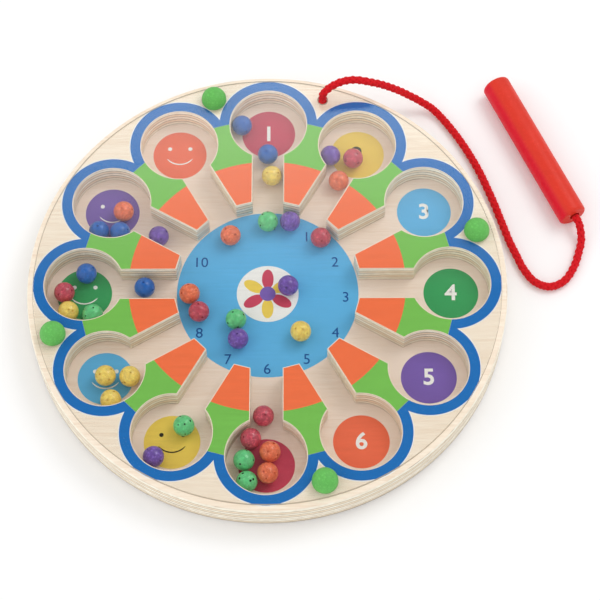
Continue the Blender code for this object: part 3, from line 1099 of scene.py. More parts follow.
def clock_point(hour: float, reach: float, across: float = 0.0) -> Vector:
    """Place on the board.

    Args:
        hour: Hour of the clock that the direction points to.
        reach: Distance from the middle.
        across: Distance sideways, clockwise.

    Returns:
        The point in the board's plane.
    """
    angle = math.radians(30.0 * hour)
    outward = Vector((math.sin(angle), math.cos(angle)))
    clockwise = Vector((math.cos(angle), -math.sin(angle)))
    return outward * reach + clockwise * across


# The cord


def smooth_way(points: list[Vector], samples: int) -> list[Vector]:
    """Run a Catmull-Rom curve through points.

    Args:
        points: Points that the curve passes.
        samples: Samples for each stretch.

    Returns:
        Closely spaced points of the curve.
    """
    way = []
    padded = [2 * points[0] - points[1]] + points + [2 * points[-1] - points[-2]]
    for index in range(1, len(padded) - 2):
        before, here, there, after = padded[index - 1:index + 3]
        for step in range(samples):
            t = step / samples
            way.append(0.5 * (2 * here + (there - before) * t
                              + (2 * before - 5 * here + 4 * there - after) * t ** 2
                              + (3 * here - before - 3 * there + after) * t ** 3))
    way.append(points[-1])
    return way


def even_way(way: list[Vector], pitch: float) -> list[Vector]:
    """Space points evenly along a way.

    Args:
        way: Closely spaced points.
        pitch: Wanted distance between points.

    Returns:
        Points at an even pitch, with both ends kept.
    """
    lengths = [0.0]
    for first, second in zip(way, way[1:]):
        lengths.append(lengths[-1] + (second - first).length)
    count = max(2, round(lengths[-1] / pitch))
    points = []
    index = 0
    for number in range(count + 1):
        target = lengths[-1] * number / count
        while index < len(way) - 2 and lengths[index + 1] < target:
            index += 1
        span = lengths[index + 1] - lengths[index]
        points.append(way[index].lerp(way[index + 1], (target - lengths[index]) / span))
    return points


@dataclass(frozen=True)
class Braid:
    """Round braid of yarns that pass over and under each other."""

    radius: float
    yarns: int = 4
    turn_share: float = 6.3
    weave_share: float = 0.16
    yarn_half_width_share: float = 0.36
    yarn_half_thickness_share: float = 0.25
    core_share: float = 0.44
    steps_per_crossing: int = 4
    yarn_sides: int = 6
    core_sides: int = 10

    def turn(self) -> float:
        """Return the length in which a yarn goes once round."""
        return self.radius * self.turn_share

    def pitch(self) -> float:
        """Return the distance between rings along the braid."""
        return self.turn() / (2 * self.yarns * self.steps_per_crossing)

    def frames(self, way: list[Vector]) -> list[tuple[Vector, Vector, Vector]]:
        """Carry a frame along the way without twist.

        Args:
            way: Points of the braid's middle line.

        Returns:
            For each point its direction and two directions across it.
        """
        result = []
        side = None
        for index in range(len(way)):
            ahead = (way[min(index + 1, len(way) - 1)] - way[max(index - 1, 0)]).normalized()
            if side is None:
                side = ahead.orthogonal()
            side = (side - ahead * side.dot(ahead)).normalized()
            result.append((ahead, side, ahead.cross(side)))
        return result

    def yarn_rings(self, way: list[Vector], frames: list[tuple[Vector, Vector, Vector]], number: int,
                   sense: int) -> list[list[Vector]]:
        """Rings of one yarn.

        Args:
            way: Points of the braid's middle line.
            frames: Frames along it.
            number: Number of the yarn among those of its sense.
            sense: 1 or -1, the way it turns.

        Returns:
            The yarn's rings.
        """
        middle = self.radius * (1.0 - self.weave_share - self.yarn_half_thickness_share)
        half_width = self.radius * self.yarn_half_width_share
        half_thickness = self.radius * self.yarn_half_thickness_share
        centres = []
        outwards = []
        for index, (point, (_, side, other)) in enumerate(zip(way, frames)):
            share = index * self.pitch() / self.turn()
            angle = 2 * math.pi * (sense * share + number / self.yarns)
            lift = sense * self.weave_share * self.radius * math.cos(2 * math.pi * self.yarns * share)
            outward = side * math.cos(angle) + other * math.sin(angle)
            centres.append(point + outward * (middle + lift))
            outwards.append(outward)
        rings = []
        for index, (centre, outward) in enumerate(zip(centres, outwards)):
            along = centres[min(index + 1, len(centres) - 1)] - centres[max(index - 1, 0)]
            across = along.cross(outward).normalized()
            ring = []
            for step in range(self.yarn_sides):
                angle = 2 * math.pi * step / self.yarn_sides
                ring.append(centre + across * (half_width * math.cos(angle))
                            - outward * (half_thickness * math.sin(angle)))
            rings.append(ring)
        return rings

    def mesh(self, name: str, way: list[Vector]) -> Mesh:
        """Build the braid along a way.

        Args:
            name: Name of the mesh.
            way: Points at the braid's own pitch.

        Returns:
            The braid's mesh.
        """
        vertices: list[Vector] = []
        faces: list[list[int]] = []
        frames = self.frames(way)
        core = self.radius * self.core_share
        rings = []
        for point, (_, side, other) in zip(way[::2], frames[::2]):
            angles = [2 * math.pi * step / self.core_sides for step in range(self.core_sides)]
            rings.append([point + (side * math.cos(angle) + other * math.sin(angle)) * core
                          for angle in angles])
        loft(rings, vertices, faces)
        core_faces = len(faces)
        for number in range(self.yarns):
            loft(self.yarn_rings(way, frames, number, 1), vertices, faces)
            loft(self.yarn_rings(way, frames, number, -1), vertices, faces)
        mesh = bpy.data.meshes.new(name)
        mesh.from_pydata(vertices, [], faces)
        mesh.update()
        for index in range(core_faces):
            mesh.polygons[index].material_index = 1
        return smooth(mesh, angle=60.0)


@dataclass
class Cord:
    """The braided cord from the board's hole to the wand, with the knot that holds it."""

    diameter: float = 0.0052
    fluff_share: float = 1.06
    straight_run: float = 0.006
    samples: int = 16
    path_pitch: float = 0.003
    knot_diameter: float = 0.011
    knot_yarn_radius: float = 0.00145
    knot_steps: int = 240
    bend_start: tuple[float, float, float] = (0.0700, 0.0143, 0.0)
    bend_end: tuple[float, float, float] = (0.1955, 0.0399, 0.0)

    ROUTE = (
        (0.0369, 0.1319, 0.0344),
        (0.0397, 0.1336, 0.0366),
        (0.0436, 0.1351, 0.0384),
        (0.0481, 0.1364, 0.0396),
        (0.0536, 0.1373, 0.0400),
        (0.0594, 0.1373, 0.0396),
        (0.0659, 0.1373, 0.0374),
        (0.0725, 0.1381, 0.0334),
        (0.0792, 0.1389, 0.0282),
        (0.0860, 0.1397, 0.0220),
        (0.0927, 0.1400, 0.0155),
        (0.0996, 0.1395, 0.0096),
        (0.1103, 0.1347, 0.0035),
        (0.1234, 0.1169, 0.0026),
        (0.1353, 0.0945, 0.0026),
        (0.1439, 0.0723, 0.0026),
        (0.1496, 0.0548, 0.0026),
        (0.1544, 0.0396, 0.0026),
        (0.1587, 0.0288, 0.0026),
        (0.1628, 0.0192, 0.0026),
        (0.1695, 0.0102, 0.0026),
        (0.1789, 0.0068, 0.0026),
        (0.1881, 0.0108, 0.0026),
        (0.1948, 0.0205, 0.0026),
        (0.1988, 0.0320, 0.0029),
        (0.2005, 0.0400, 0.0044),
    )

    def braid_radius(self) -> float:
        """Return the radius out to the tops of the yarns, a little over half the nominal diameter."""
        return self.diameter / 2 * self.fluff_share

    def yarn_finishes(self) -> list[Finish]:
        """Return the finishes of the outer yarns and of the core, which is painted dark as shadow between
        them.
        """
        # Painted shade: the core's colours are dark so that the gaps between the yarns read as shadow.
        core = BraidedYarn("cord_core_painted_shade", screen(96, 2, 10), screen(60, 1, 6), screen(130, 10, 16))
        return [BraidedYarn(), core]

    def hole(self) -> Vector:
        """Return where the cord's hole stands, which is over its knot."""
        return middle_of("cord_knot")

    def wand_end(self) -> tuple[Vector, Vector]:
        """Where the cord enters the wand, and the wand's direction towards it.

        Returns:
            The point on the wand's end, and the direction.
        """
        handle, direction = wand_line()
        side = direction.cross(UP)
        return handle + direction * (Wand.length / 2 + FIT_GAP) - side * Wand.socket_offset, direction

    def way(self) -> list[Vector]:
        """Lead the cord's middle line from the board to the wand's end.

        Returns:
            Closely spaced points of it.
        """
        hole = self.hole()
        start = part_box("maze_plate")[0].z
        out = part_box("clear_cover")[1].z
        end, direction = self.wand_end()
        points = [Vector((hole.x, hole.y, level)) for level in (start, out, out + self.straight_run)]
        points += [Vector(point) for point in self.ROUTE]
        points += [end + direction * self.straight_run, end]
        lowest = self.braid_radius()
        return [Vector((p.x, p.y, max(p.z, lowest))) for p in smooth_way(points, self.samples)]

    def build_knot(self) -> Object:
        """Tie the knot under the plate.

        Returns:
            The knot's piece.
        """
        low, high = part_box("cord_knot")
        centre = (low + high) / 2
        reach = (self.knot_diameter / 2 - self.knot_yarn_radius) / 3
        rise = (high.z - low.z) / 2 - self.knot_yarn_radius
        way = []
        for step in range(self.knot_steps + 1):
            t = 2 * math.pi * step / self.knot_steps
            x = reach * (math.sin(t) + 2 * math.sin(2 * t))
            y = reach * (math.cos(t) - 2 * math.cos(2 * t))
            way.append(centre + Vector((x, y, -rise * math.sin(3 * t))))
        braid = Braid(self.knot_yarn_radius)
        mesh = braid.mesh("cord_knot_braid", even_way(way, braid.pitch()))
        return fit_piece("cord_knot_braid", mesh, self.yarn_finishes(), "board",
                         ("cord_knot",))

    def build(self) -> None:
        way = self.way()
        braid = Braid(self.braid_radius())
        mesh = braid.mesh("braided_cord", even_way(way, braid.pitch()))
        for finish in self.yarn_finishes():
            mesh.materials.append(finish.material())
        cord = loose_object("braided_cord", mesh)
        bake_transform(cord)
        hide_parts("cord")
        self.build_knot()


# The board


@dataclass
class Maze:
    """Plan of the pockets, the lanes and the middle hollow."""

    board_radius: float
    lanes: int = 12
    lane_width: float = 0.0198
    rim_wall: float = 0.0107
    pocket_neck: float = 0.00992
    middle_reach: float = 0.0579
    pocket_steps: int = 72

    def half_sector(self) -> tuple[float, float]:
        """Return the sine and cosine of half the angle from one lane to the next."""
        angle = math.pi / self.lanes
        return math.sin(angle), math.cos(angle)

    def pocket_radius(self) -> float:
        """Fit the pockets between the rim and each other.

        Returns:
            The radius of a pocket.
        """
        sine, _ = self.half_sector()
        reach = self.board_radius - self.rim_wall
        return (reach * sine - self.pocket_neck / 2) / (1 + sine)

    def pocket_circle(self) -> float:
        """Return how far the pockets' middles are from the board's middle."""
        return self.board_radius - self.rim_wall - self.pocket_radius()

    def outline(self) -> Outline:
        """Draw the pockets, lanes and middle hollow as one outline.

        Returns:
            The closed outline, clockwise from above.
        """
        half = self.lane_width / 2
        radius = self.pocket_radius()
        sine, cosine = self.half_sector()
        corner = (self.middle_reach - half * sine) / cosine
        mouth = math.asin(half / radius)
        points = []
        for hour in range(self.lanes):
            points.append(clock_point(hour, corner, -half))
            for step in range(self.pocket_steps + 1):
                turn = mouth + (2 * math.pi - 2 * mouth) * step / self.pocket_steps
                points.append(clock_point(hour, self.pocket_circle() - radius * math.cos(turn),
                                          -radius * math.sin(turn)))
            points.append(clock_point(hour, corner, half))
        return points


@dataclass
class Board:
    """Base board and maze plate, two glued birch discs."""

    maze: Maze
    rim_rounding: float = 0.0015
    eased: float = 0.00035
    plate_plies: int = 5
    base_plies: int = 3
    base_face: Colour = screen(247, 230, 217)
    base_face_shade: Colour = screen(238, 216, 198)
    # Painted shadow at the foot of the base board's side.
    foot_soil: float = 0.6
    steps: int = 240
    socket_diameter: float = 0.0066
    socket_floor: float = 0.005
    cord_hole_diameter: float = 0.0064
    chamber_diameter: float = 0.013

    def build(self) -> None:
        """Build both discs."""
        self.build_base()
        self.build_plate()

    def build_base(self) -> None:
        """Build the base board with the chamber for the cord's knot."""
        low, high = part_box("base_board")
        knot = middle_of("cord_knot")
        profile = disc_profile(high.x, low.z, high.z, self.rim_rounding, self.eased)
        chamber = (knot.x, knot.y, self.chamber_diameter / 2, low.z - CUT_OVERRUN, high.z + CUT_OVERRUN)
        mesh = carve(lathe("base_disc", profile, self.steps), [cylinders("chamber", [chamber])])
        ease_edges(mesh, self.eased)
        wood = BirchPly("birch_base", low.z, (high.z - low.z) / self.base_plies, self.base_face,
                        self.base_face_shade, soiled=self.foot_soil)
        fit_piece("base_board_birch", smooth(mesh), [wood], "board", ("base_board",))

    def build_plate(self) -> None:
        """Build the maze plate with its peg sockets and the cord's hole."""
        low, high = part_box("maze_plate")
        floor, top = low.z - CUT_OVERRUN, high.z + CUT_OVERRUN
        profile = disc_profile(high.x, low.z, high.z, self.eased, self.rim_rounding)
        mesh = lathe("plate_disc", profile, self.steps)
        prism = slab("maze_prism", [self.maze.outline()], floor, top)
        bores = fixing_bores(self.socket_diameter, low.z + self.socket_floor, self.cord_hole_diameter, floor,
                             top)
        mesh = carve(mesh, [prism, cylinders("plate_bores", bores)])
        ease_edges(mesh, self.eased)
        wood = BirchPly("birch_plate", low.z, (high.z - low.z) / self.plate_plies)
        fit_piece("maze_plate_birch", smooth(mesh), [wood], "board", ("maze_plate",))


@dataclass
class Prints:
    """Everything that is printed: the plate's pattern, and the discs, faces and numbers on the base."""

    maze: Maze
    film: float = 0.00003
    film_gap: float = 0.00001
    margin: float = 0.0005
    band_reach: float = 0.0316
    band_white: float = 0.0006
    band_chord: float = 0.1171
    wedge_split: float = 0.0865
    chord_gap: float = 0.00012
    split_steps: int = 8
    wedge_steps: int = 20
    arc_steps: int = 48
    disc_circle: float = 0.1155
    disc_radius: float = 0.0173
    centre_radius: float = 0.0573
    flower_ground: float = 0.0195
    petal_reach: float = 0.0170
    petal_inner: float = 0.0035
    petal_half_width: float = 0.0037
    petals: int = 6
    heart_radius: float = 0.0050
    eye_across: float = 0.0066
    eye_up: float = 0.0048
    eye_radius: float = 0.00135
    smile_radius: float = 0.0103
    smile_low: float = -0.0066
    smile_half_angle: float = 53.0
    smile_half_line: float = 0.00042
    smile_fullness: float = 1.03
    smile_steps: int = 32
    number_reach: float = 0.0492
    number_drop: float = 0.0027
    top_number_lift: float = 0.0016
    number_size: float = 0.0098
    label_size: float = 0.0150
    label_weight: float = 0.00035
    figure_resolution: int = 6

    POCKETS = (Ink.CRIMSON, Ink.SUNSHINE, Ink.SKY, Ink.FOREST, Ink.VIOLET, Ink.CORAL,
               Ink.CRIMSON, Ink.SUNSHINE, Ink.SKY, Ink.FOREST, Ink.VIOLET, Ink.CORAL)
    LABELLED = 6
    PLAIN = 6

    def lay(self, name: str, ink: Ink, layer: int, meshes: list[Mesh]) -> None:
        """Lay joined prints on the board.

        Args:
            name: Name of the piece.
            ink: Ink that it is printed in.
            layer: How many films lie under it.
            meshes: Prints modelled from level 0 up.
        """
        mesh = join_meshes(name, meshes)
        mesh.transform(Matrix.Translation((0.0, 0.0, layer * (self.film + self.film_gap) + self.film_gap)))
        fit_piece(name, mesh, [PrintedInk("ink_" + ink.name.lower(), ink)], "board")

    def film_of(self, outlines: list[Outline], level: float) -> Mesh:
        """Return a film of ink with these outlines, at a level."""
        return slab("film", outlines, level, level + self.film)

    def round_film(self, centre: Vector, radius: float, level: float) -> Mesh:
        """Return a round film of ink about a point, at a level."""
        return self.film_of([self.circle(centre, radius)], level)

    def printed_side(self) -> float:
        """Return how far the prints stay from the axis of a lane."""
        return self.maze.lane_width / 2 + self.margin

    def printed_pocket(self) -> float:
        """Return how far the prints stay from the middle of a pocket."""
        return self.maze.pocket_radius() + self.margin

    def circle(self, centre: Vector, radius: float) -> Outline:
        """Return a round outline about a point."""
        turns = [2 * math.pi * step / (2 * self.arc_steps) for step in range(2 * self.arc_steps)]
        return [centre + Vector((math.cos(turn), math.sin(turn))) * radius for turn in turns]

    def scallops(self, radius: float, limit: float) -> Outline:
        """Outline of twelve arcs about the pockets.

        Args:
            radius: Radius of the arcs.
            limit: Angle on each side of the outward direction where an arc ends.

        Returns:
            The closed outline.
        """
        points = []
        for hour in range(self.maze.lanes):
            for step in range(self.arc_steps + 1):
                turn = limit * (2 * step / self.arc_steps - 1)
                points.append(clock_point(hour, self.maze.pocket_circle() + radius * math.cos(turn),
                                          radius * math.sin(turn)))
        return points

    def meeting_angle(self, radius: float) -> float:
        """Find where arcs about two neighbouring pockets meet.

        Args:
            radius: Radius of the arcs.

        Returns:
            The angle about a pocket, from the outward direction.
        """
        centre = self.maze.pocket_circle()
        sine, cosine = self.maze.half_sector()
        reach = centre * cosine + math.sqrt(radius ** 2 - (centre * sine) ** 2)
        return math.atan2(reach * sine, reach * cosine - centre)

    def chord_half(self) -> float:
        """Measure an island's print at the band's inner chord.

        Returns:
            Half its width.
        """
        centre = self.maze.pocket_circle()
        sine, cosine = self.maze.half_sector()
        along = self.band_chord - centre * cosine
        return centre * sine - math.sqrt(self.printed_pocket() ** 2 - along ** 2)

    def chord_angle(self) -> float:
        """Find where the band's inner chord begins.

        Returns:
            The angle about a pocket, from the outward direction.
        """
        sine, cosine = self.maze.half_sector()
        half = self.chord_half()
        along = self.band_chord * cosine + half * sine
        across = self.band_chord * sine - half * cosine
        return math.atan2(across, along - self.maze.pocket_circle())

    def island(self, hour: float, half_outline: Profile) -> Outline:
        """Mirror half an outline about an island's axis.

        Args:
            hour: Hour that the axis points to.
            half_outline: Points along and across the axis, from the inside out.

        Returns:
            The closed outline.
        """
        mirrored = [(along, -across) for along, across in reversed(half_outline)]
        return [clock_point(hour, along, across) for along, across in mirrored + half_outline]

    def lane_edge(self, reach: float) -> tuple[float, float]:
        """Find a point on the printed side of an island.

        Args:
            reach: How far it is along the lane's axis.

        Returns:
            The point, along and across the island's axis.
        """
        sine, cosine = self.maze.half_sector()
        side = self.printed_side()
        return reach * cosine + side * sine, reach * sine - side * cosine

    def split_arc(self) -> Profile:
        """Draw half of the arc that parts the two wedges.

        Returns:
            Its points, from near the island's axis outward.
        """
        along, across = self.lane_edge(math.sqrt(self.wedge_split ** 2 - self.printed_side() ** 2))
        limit = math.degrees(math.atan2(across, along))
        return arc(0.0, 0.0, self.wedge_split, self.wedge_split, limit / self.split_steps, limit,
                   self.split_steps - 1)

    def inner_wedge(self) -> Profile:
        """Draw the inner wedge.

        Returns:
            Half of its outline.
        """
        sine, cosine = self.maze.half_sector()
        start = self.lane_edge((self.maze.middle_reach + self.margin - self.printed_side() * sine) / cosine)
        return [start] + list(reversed(self.split_arc()))

    def outer_wedge(self) -> Profile:
        """Draw the outer wedge.

        Returns:
            Half of its outline.
        """
        sine, cosine = self.maze.half_sector()
        circle = self.maze.pocket_circle()
        centre = (circle * cosine, circle * sine)
        radius = self.printed_pocket()
        mouth = self.lane_edge(circle - math.sqrt(radius ** 2 - self.printed_side() ** 2))
        end = (self.band_chord - self.chord_gap, self.chord_half())
        first = math.degrees(math.atan2(mouth[1] - centre[1], mouth[0] - centre[0])) % 360
        last = math.degrees(math.atan2(end[1] - centre[1], end[0] - centre[0])) % 360
        return self.split_arc() + arc(*centre, radius, radius, first, last, self.wedge_steps)

    def build(self) -> None:
        """Print the plate and the base board."""
        self.print_plate(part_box("maze_plate")[1].z)
        self.print_base(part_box("base_board")[1].z)

    def print_plate(self, level: float) -> None:
        """Print the scalloped band and the wedges.

        Args:
            level: Top of the plate.
        """
        islands = [hour + 0.5 for hour in range(self.maze.lanes)]
        white_rim = [self.scallops(reach, self.meeting_angle(reach))
                     for reach in (self.band_reach + self.band_white, self.band_reach - self.band_white)]
        self.lay("print_white_outline", Ink.WHITE, 0, [self.film_of(white_rim, level)])
        band = [self.scallops(self.band_reach, self.meeting_angle(self.band_reach)),
                self.scallops(self.printed_pocket(), self.chord_angle())]
        self.lay("print_blue_band", Ink.ROYAL, 1, [self.film_of(band, level)])
        for name, ink, half in (("print_green_wedges", Ink.LEAF, self.outer_wedge()),
                                ("print_orange_wedges", Ink.TANGERINE, self.inner_wedge())):
            self.lay(name, ink, 1, [self.film_of([self.island(hour, half)], level) for hour in islands])

    def print_base(self, level: float) -> None:
        """Print the discs, faces, numbers and the flower.

        Args:
            level: Top of the base board.
        """
        faces: dict[Ink, list[Mesh]] = {Ink.WHITE: [], Ink.CHARCOAL: []}
        for hour, ink in enumerate(self.POCKETS):
            centre = clock_point(hour, self.disc_circle)
            disc = self.round_film(centre, self.disc_radius, level)
            self.lay("print_disc_%d" % (hour + 1), ink, 0, [disc])
            mark = Ink.CHARCOAL if ink is Ink.SUNSHINE else Ink.WHITE
            if hour < self.LABELLED:
                label = self.figure(str(hour + 1), centre, self.label_size, level, self.label_weight)
                faces[mark].append(label)
            elif hour != self.PLAIN:
                faces[mark] += self.smile(centre, level)
        for ink, meshes in faces.items():
            self.lay("print_marks_" + ink.name.lower(), ink, 1, meshes)
        middle = Vector((0.0, 0.0))
        ground = self.round_film(middle, self.centre_radius, level)
        self.lay("print_clock_ground", Ink.SKY, 0, [ground])
        numbers = []
        for hour in range(1, self.maze.lanes + 1):
            lift = self.top_number_lift if hour == self.maze.lanes else 0.0
            spot = clock_point(hour, self.number_reach) + Vector((0.0, lift - self.number_drop))
            numbers.append(self.figure(str(hour), spot, self.number_size, level))
        self.lay("print_clock_numbers", Ink.INDIGO, 1, numbers)
        ground = self.round_film(middle, self.flower_ground, level)
        self.lay("print_flower_ground", Ink.WHITE, 1, [ground])
        for start, ink in ((0, Ink.CRIMSON), (1, Ink.SUNSHINE)):
            petals = [self.petal(number, level) for number in range(start, self.petals, 2)]
            self.lay("print_petals_" + ink.name.lower(), ink, 2, petals)
        heart = self.round_film(middle, self.heart_radius, level)
        self.lay("print_flower_heart", Ink.VIOLET, 3, [heart])

    def petal(self, number: int, level: float) -> Mesh:
        """Film of one petal.

        Args:
            number: Number of the petal round the flower.
            level: Level that it is modelled at.

        Returns:
            Its mesh.
        """
        hour = 12.0 * number / self.petals
        length = (self.petal_reach - self.petal_inner) / 2
        points = arc(self.petal_inner + length, 0.0, length, self.petal_half_width, 0,
                     360.0 - 360.0 / self.arc_steps, self.arc_steps - 1)
        return self.film_of([[clock_point(hour, along, across) for along, across in points]], level)

    def smile(self, centre: Vector, level: float) -> list[Mesh]:
        """Films of a smiling face's eyes and mouth.

        Args:
            centre: Middle of the disc that it is on.
            level: Level that they are modelled at.

        Returns:
            Their meshes.
        """
        eyes = [self.circle(centre + Vector((across, self.eye_up)), self.eye_radius)
                for across in (-self.eye_across, self.eye_across)]
        rise = self.smile_low + self.smile_radius
        outer, inner = [], []
        for step in range(self.smile_steps + 1):
            share = 2 * step / self.smile_steps - 1
            turn = math.radians(-90 + share * self.smile_half_angle)
            half = self.smile_half_line * math.sqrt(self.smile_fullness - share ** 4)
            ray = Vector((math.cos(turn), math.sin(turn)))
            outer.append(centre + Vector((0.0, rise)) + ray * (self.smile_radius + half))
            inner.append(centre + Vector((0.0, rise)) + ray * (self.smile_radius - half))
        return [self.film_of([loop], level) for loop in eyes + [outer + list(reversed(inner))]]

    def figure(self, text: str, centre: Vector, size: float, level: float, weight: float = 0.0) -> Mesh:
        """Film of a plain number.

        Args:
            text: The number.
            centre: Middle of the number.
            size: Size of the type.
            level: Level that it is modelled at.
            weight: How far the strokes are thickened.

        Returns:
            Its mesh.
        """
        curve = bpy.data.curves.new("figure_" + text, "FONT")
        curve.body = text
        curve.size = size
        curve.align_x = "CENTER"
        curve.align_y = "CENTER"
        curve.offset = weight
        curve.resolution_u = self.figure_resolution
        curve.extrude = self.film / 2
        item = loose_object("figure_" + text, curve)
        item.location = (centre.x, centre.y, level + self.film / 2)
        return bake_mesh(item)


@dataclass
class Cover:
    """Clear sheet over the maze and the four pegs that hold it."""

    rounding: float = 0.0005
    eased: float = 0.0002
    sawn_roughness: float = 0.55
    sawn_transmission: float = 0.35
    sawn_tint: Colour = screen(188, 172, 150)
    hole_diameter: float = 0.0066
    cord_hole_diameter: float = 0.0064
    steps: int = 240
    peg_head_diameter: float = 0.016
    peg_dome_height: float = 0.008
    peg_foot_rounding: float = 0.0003
    peg_stem_diameter: float = 0.006
    peg_chamfer: float = 0.0005
    peg_steps: int = 64
    dome_steps: int = 20
    foot_steps: int = 4

    LEVEL_NORMAL = 0.95

    def build(self) -> None:
        """Build the sheet and its pegs."""
        self.build_sheet()
        for node in PEG_NODES:
            self.build_peg(node)

    def build_sheet(self) -> None:
        """Build the clear sheet with its holes."""
        low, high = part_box("clear_cover")
        floor, top = low.z - CUT_OVERRUN, high.z + CUT_OVERRUN
        profile = disc_profile(high.x, low.z, high.z, self.rounding, self.rounding)
        mesh = lathe("cover_sheet", profile, self.steps)
        bores = fixing_bores(self.hole_diameter, floor, self.cord_hole_diameter, floor, top)
        mesh = ease_edges(carve(mesh, [cylinders("cover_bores", bores)]), self.eased)
        for face in mesh.polygons:
            face.material_index = 0 if abs(face.normal.z) > self.LEVEL_NORMAL else 1
        sawn = ClearAcrylic("clear_acrylic_edge", self.sawn_tint, transmission=self.sawn_transmission,
                            least_roughness=self.sawn_roughness)
        fit_piece("clear_cover_sheet", smooth(mesh), [ClearAcrylic(), sawn], "board",
                  ("clear_cover",))

    def build_peg(self, node: str) -> None:
        """Build one domed peg.

        Args:
            node: The peg's node.
        """
        low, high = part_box(node)
        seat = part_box("clear_cover")[1].z + FIT_GAP
        head, stem = self.peg_head_diameter / 2, self.peg_stem_diameter / 2
        foot = high.z - seat - self.peg_dome_height
        turn = self.peg_foot_rounding
        profile = arc(0.0, seat + foot, head, self.peg_dome_height, 90, 0, self.dome_steps)
        profile += arc(head - turn, seat + turn, turn, turn, 0, -90, self.foot_steps)
        profile += [(stem, seat), (stem, low.z + self.peg_chamfer)]
        profile += [(stem - self.peg_chamfer, low.z), (0.0, low.z)]
        mesh = smooth(lathe(node + "_turned", profile, self.peg_steps), angle=40.0)
        paint = GlossPaint("peg_green", screen(101, 188, 88), roughness=0.5, coat=0.05, cloud=0.4,
                           specks=0.35, wear=0.2, scale=300.0, fineness=3.5)
        centre = middle_of(node)
        fit_piece(node + "_turned", mesh, [paint], "board", (node,),
                  Matrix.Translation((centre.x, centre.y, 0.0)))


@dataclass
class Beads:
    """Painted beads with small dark pits."""

    pits: int = 11
    pit_radius: float = 0.0006
    pit_depth: float = 0.0008
    segments: int = 40
    rings: int = 20
    variants: int = 3

    GOLDEN_TURN = math.pi * (3.0 - math.sqrt(5.0))
    TURN_SPREAD = 0.5
    TURN_WAVE = (3.7, 1.9)
    HEIGHT_SPREAD = 0.18
    HEIGHT_WAVE = (5.1, 2.3)
    MOST_HEIGHT = 0.95
    LEAST_PIT = 0.75
    PIT_SPREAD = 0.5
    PIT_WAVE = (4.3, 1.0)
    PIT_SIDES = 10
    PIT_FROM = 0.3
    PIT_TINT = 0.7
    BLACK_PITS = screen(22, 20, 24)
    SPECKLED = (BeadPaint.RED, BeadPaint.ORANGE, BeadPaint.PURPLE)
    MANY_SPECKS = 0.9
    FEW_SPECKS = 0.35
    TURNS = (1.7, 2.3, 0.9)

    @staticmethod
    def wave(steps: tuple[float, float], number: int, variant: int) -> float:
        """Return a value from -1 to 1 that differs from pit to pit and from pattern to pattern."""
        return math.sin(steps[0] * number + steps[1] * variant)

    def pit_direction(self, number: int, variant: int) -> Vector:
        """Direction of one pit.

        Args:
            number: Number of the pit.
            variant: Number of the bead's pattern.

        Returns:
            The unit direction.
        """
        height = 1.0 - (2.0 * number + 1.0) / self.pits
        height += self.HEIGHT_SPREAD * self.wave(self.HEIGHT_WAVE, number, variant)
        height = max(-self.MOST_HEIGHT, min(self.MOST_HEIGHT, height))
        turn = self.GOLDEN_TURN * number + self.TURN_SPREAD * self.wave(self.TURN_WAVE, number, variant)
        flat = math.sqrt(1.0 - height ** 2)
        return Vector((flat * math.cos(turn), flat * math.sin(turn), height))

    def pitted_ball(self, variant: int, radius: float) -> Mesh:
        """Mesh of a bead.

        Args:
            variant: Number of the bead's pattern.
            radius: Radius of the bead.

        Returns:
            The mesh, with its pits as material number 1.
        """
        shape = bmesh.new()
        bmesh.ops.create_uvsphere(shape, u_segments=self.segments, v_segments=self.rings, radius=radius)
        ball = bpy.data.meshes.new("bead_%d" % variant)
        shape.to_mesh(ball)
        shape.free()
        drills = bmesh.new()
        for number in range(self.pits):
            direction = self.pit_direction(number, variant)
            spread = self.PIT_SPREAD * abs(self.wave(self.PIT_WAVE, number, variant))
            size = self.pit_radius * (self.LEAST_PIT + spread)
            turn = direction.to_track_quat("Z", "Y").to_matrix().to_4x4()
            place = Matrix.Translation(direction * radius) @ turn
            bmesh.ops.create_cone(drills, cap_ends=True, segments=self.PIT_SIDES, radius1=size, radius2=size,
                                  depth=2 * self.pit_depth, matrix=place)
        drill = bpy.data.meshes.new("drills")
        drills.to_mesh(drill)
        drills.free()
        ball = carve(ball, [drill])
        reach = radius - self.pit_depth * self.PIT_FROM
        for face in ball.polygons:
            face.material_index = 1 if face.center.length < reach else 0
        return smooth(ball, angle=40.0)

    def build(self) -> None:
        """Build every bead where its node lies, each turned its own way."""
        low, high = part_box("red_bead_1")
        radius = (high.z - low.z) / 2
        balls = [self.pitted_ball(variant, radius) for variant in range(self.variants)]
        count = 0
        for paint in BeadPaint:
            colour = paint.name.lower()
            specks = self.MANY_SPECKS if paint in self.SPECKLED else self.FEW_SPECKS
            finish = GlossPaint("bead_" + colour, paint.value, roughness=0.32, coat=0.50, coat_roughness=0.14,
                                cloud=1.0, specks=specks, wear=0.3, scale=430.0, fineness=1.7, relief=0.5)
            dark = self.BLACK_PITS if paint is BeadPaint.GREEN else toned(paint.value, self.PIT_TINT)
            pit = Pit("bead_pit_" + colour, dark)
            number = 1
            while "%s_bead_%d" % (colour, number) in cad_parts:
                node = "%s_bead_%d" % (colour, number)
                mesh = balls[count % self.variants].copy()
                turn = Euler([step * count for step in self.TURNS]).to_matrix().to_4x4()
                place = Matrix.Translation(middle_of(node)) @ turn
                fit_piece(node + "_painted", mesh, [finish, pit], node, (node,),
                          place)
                count += 1
                number += 1


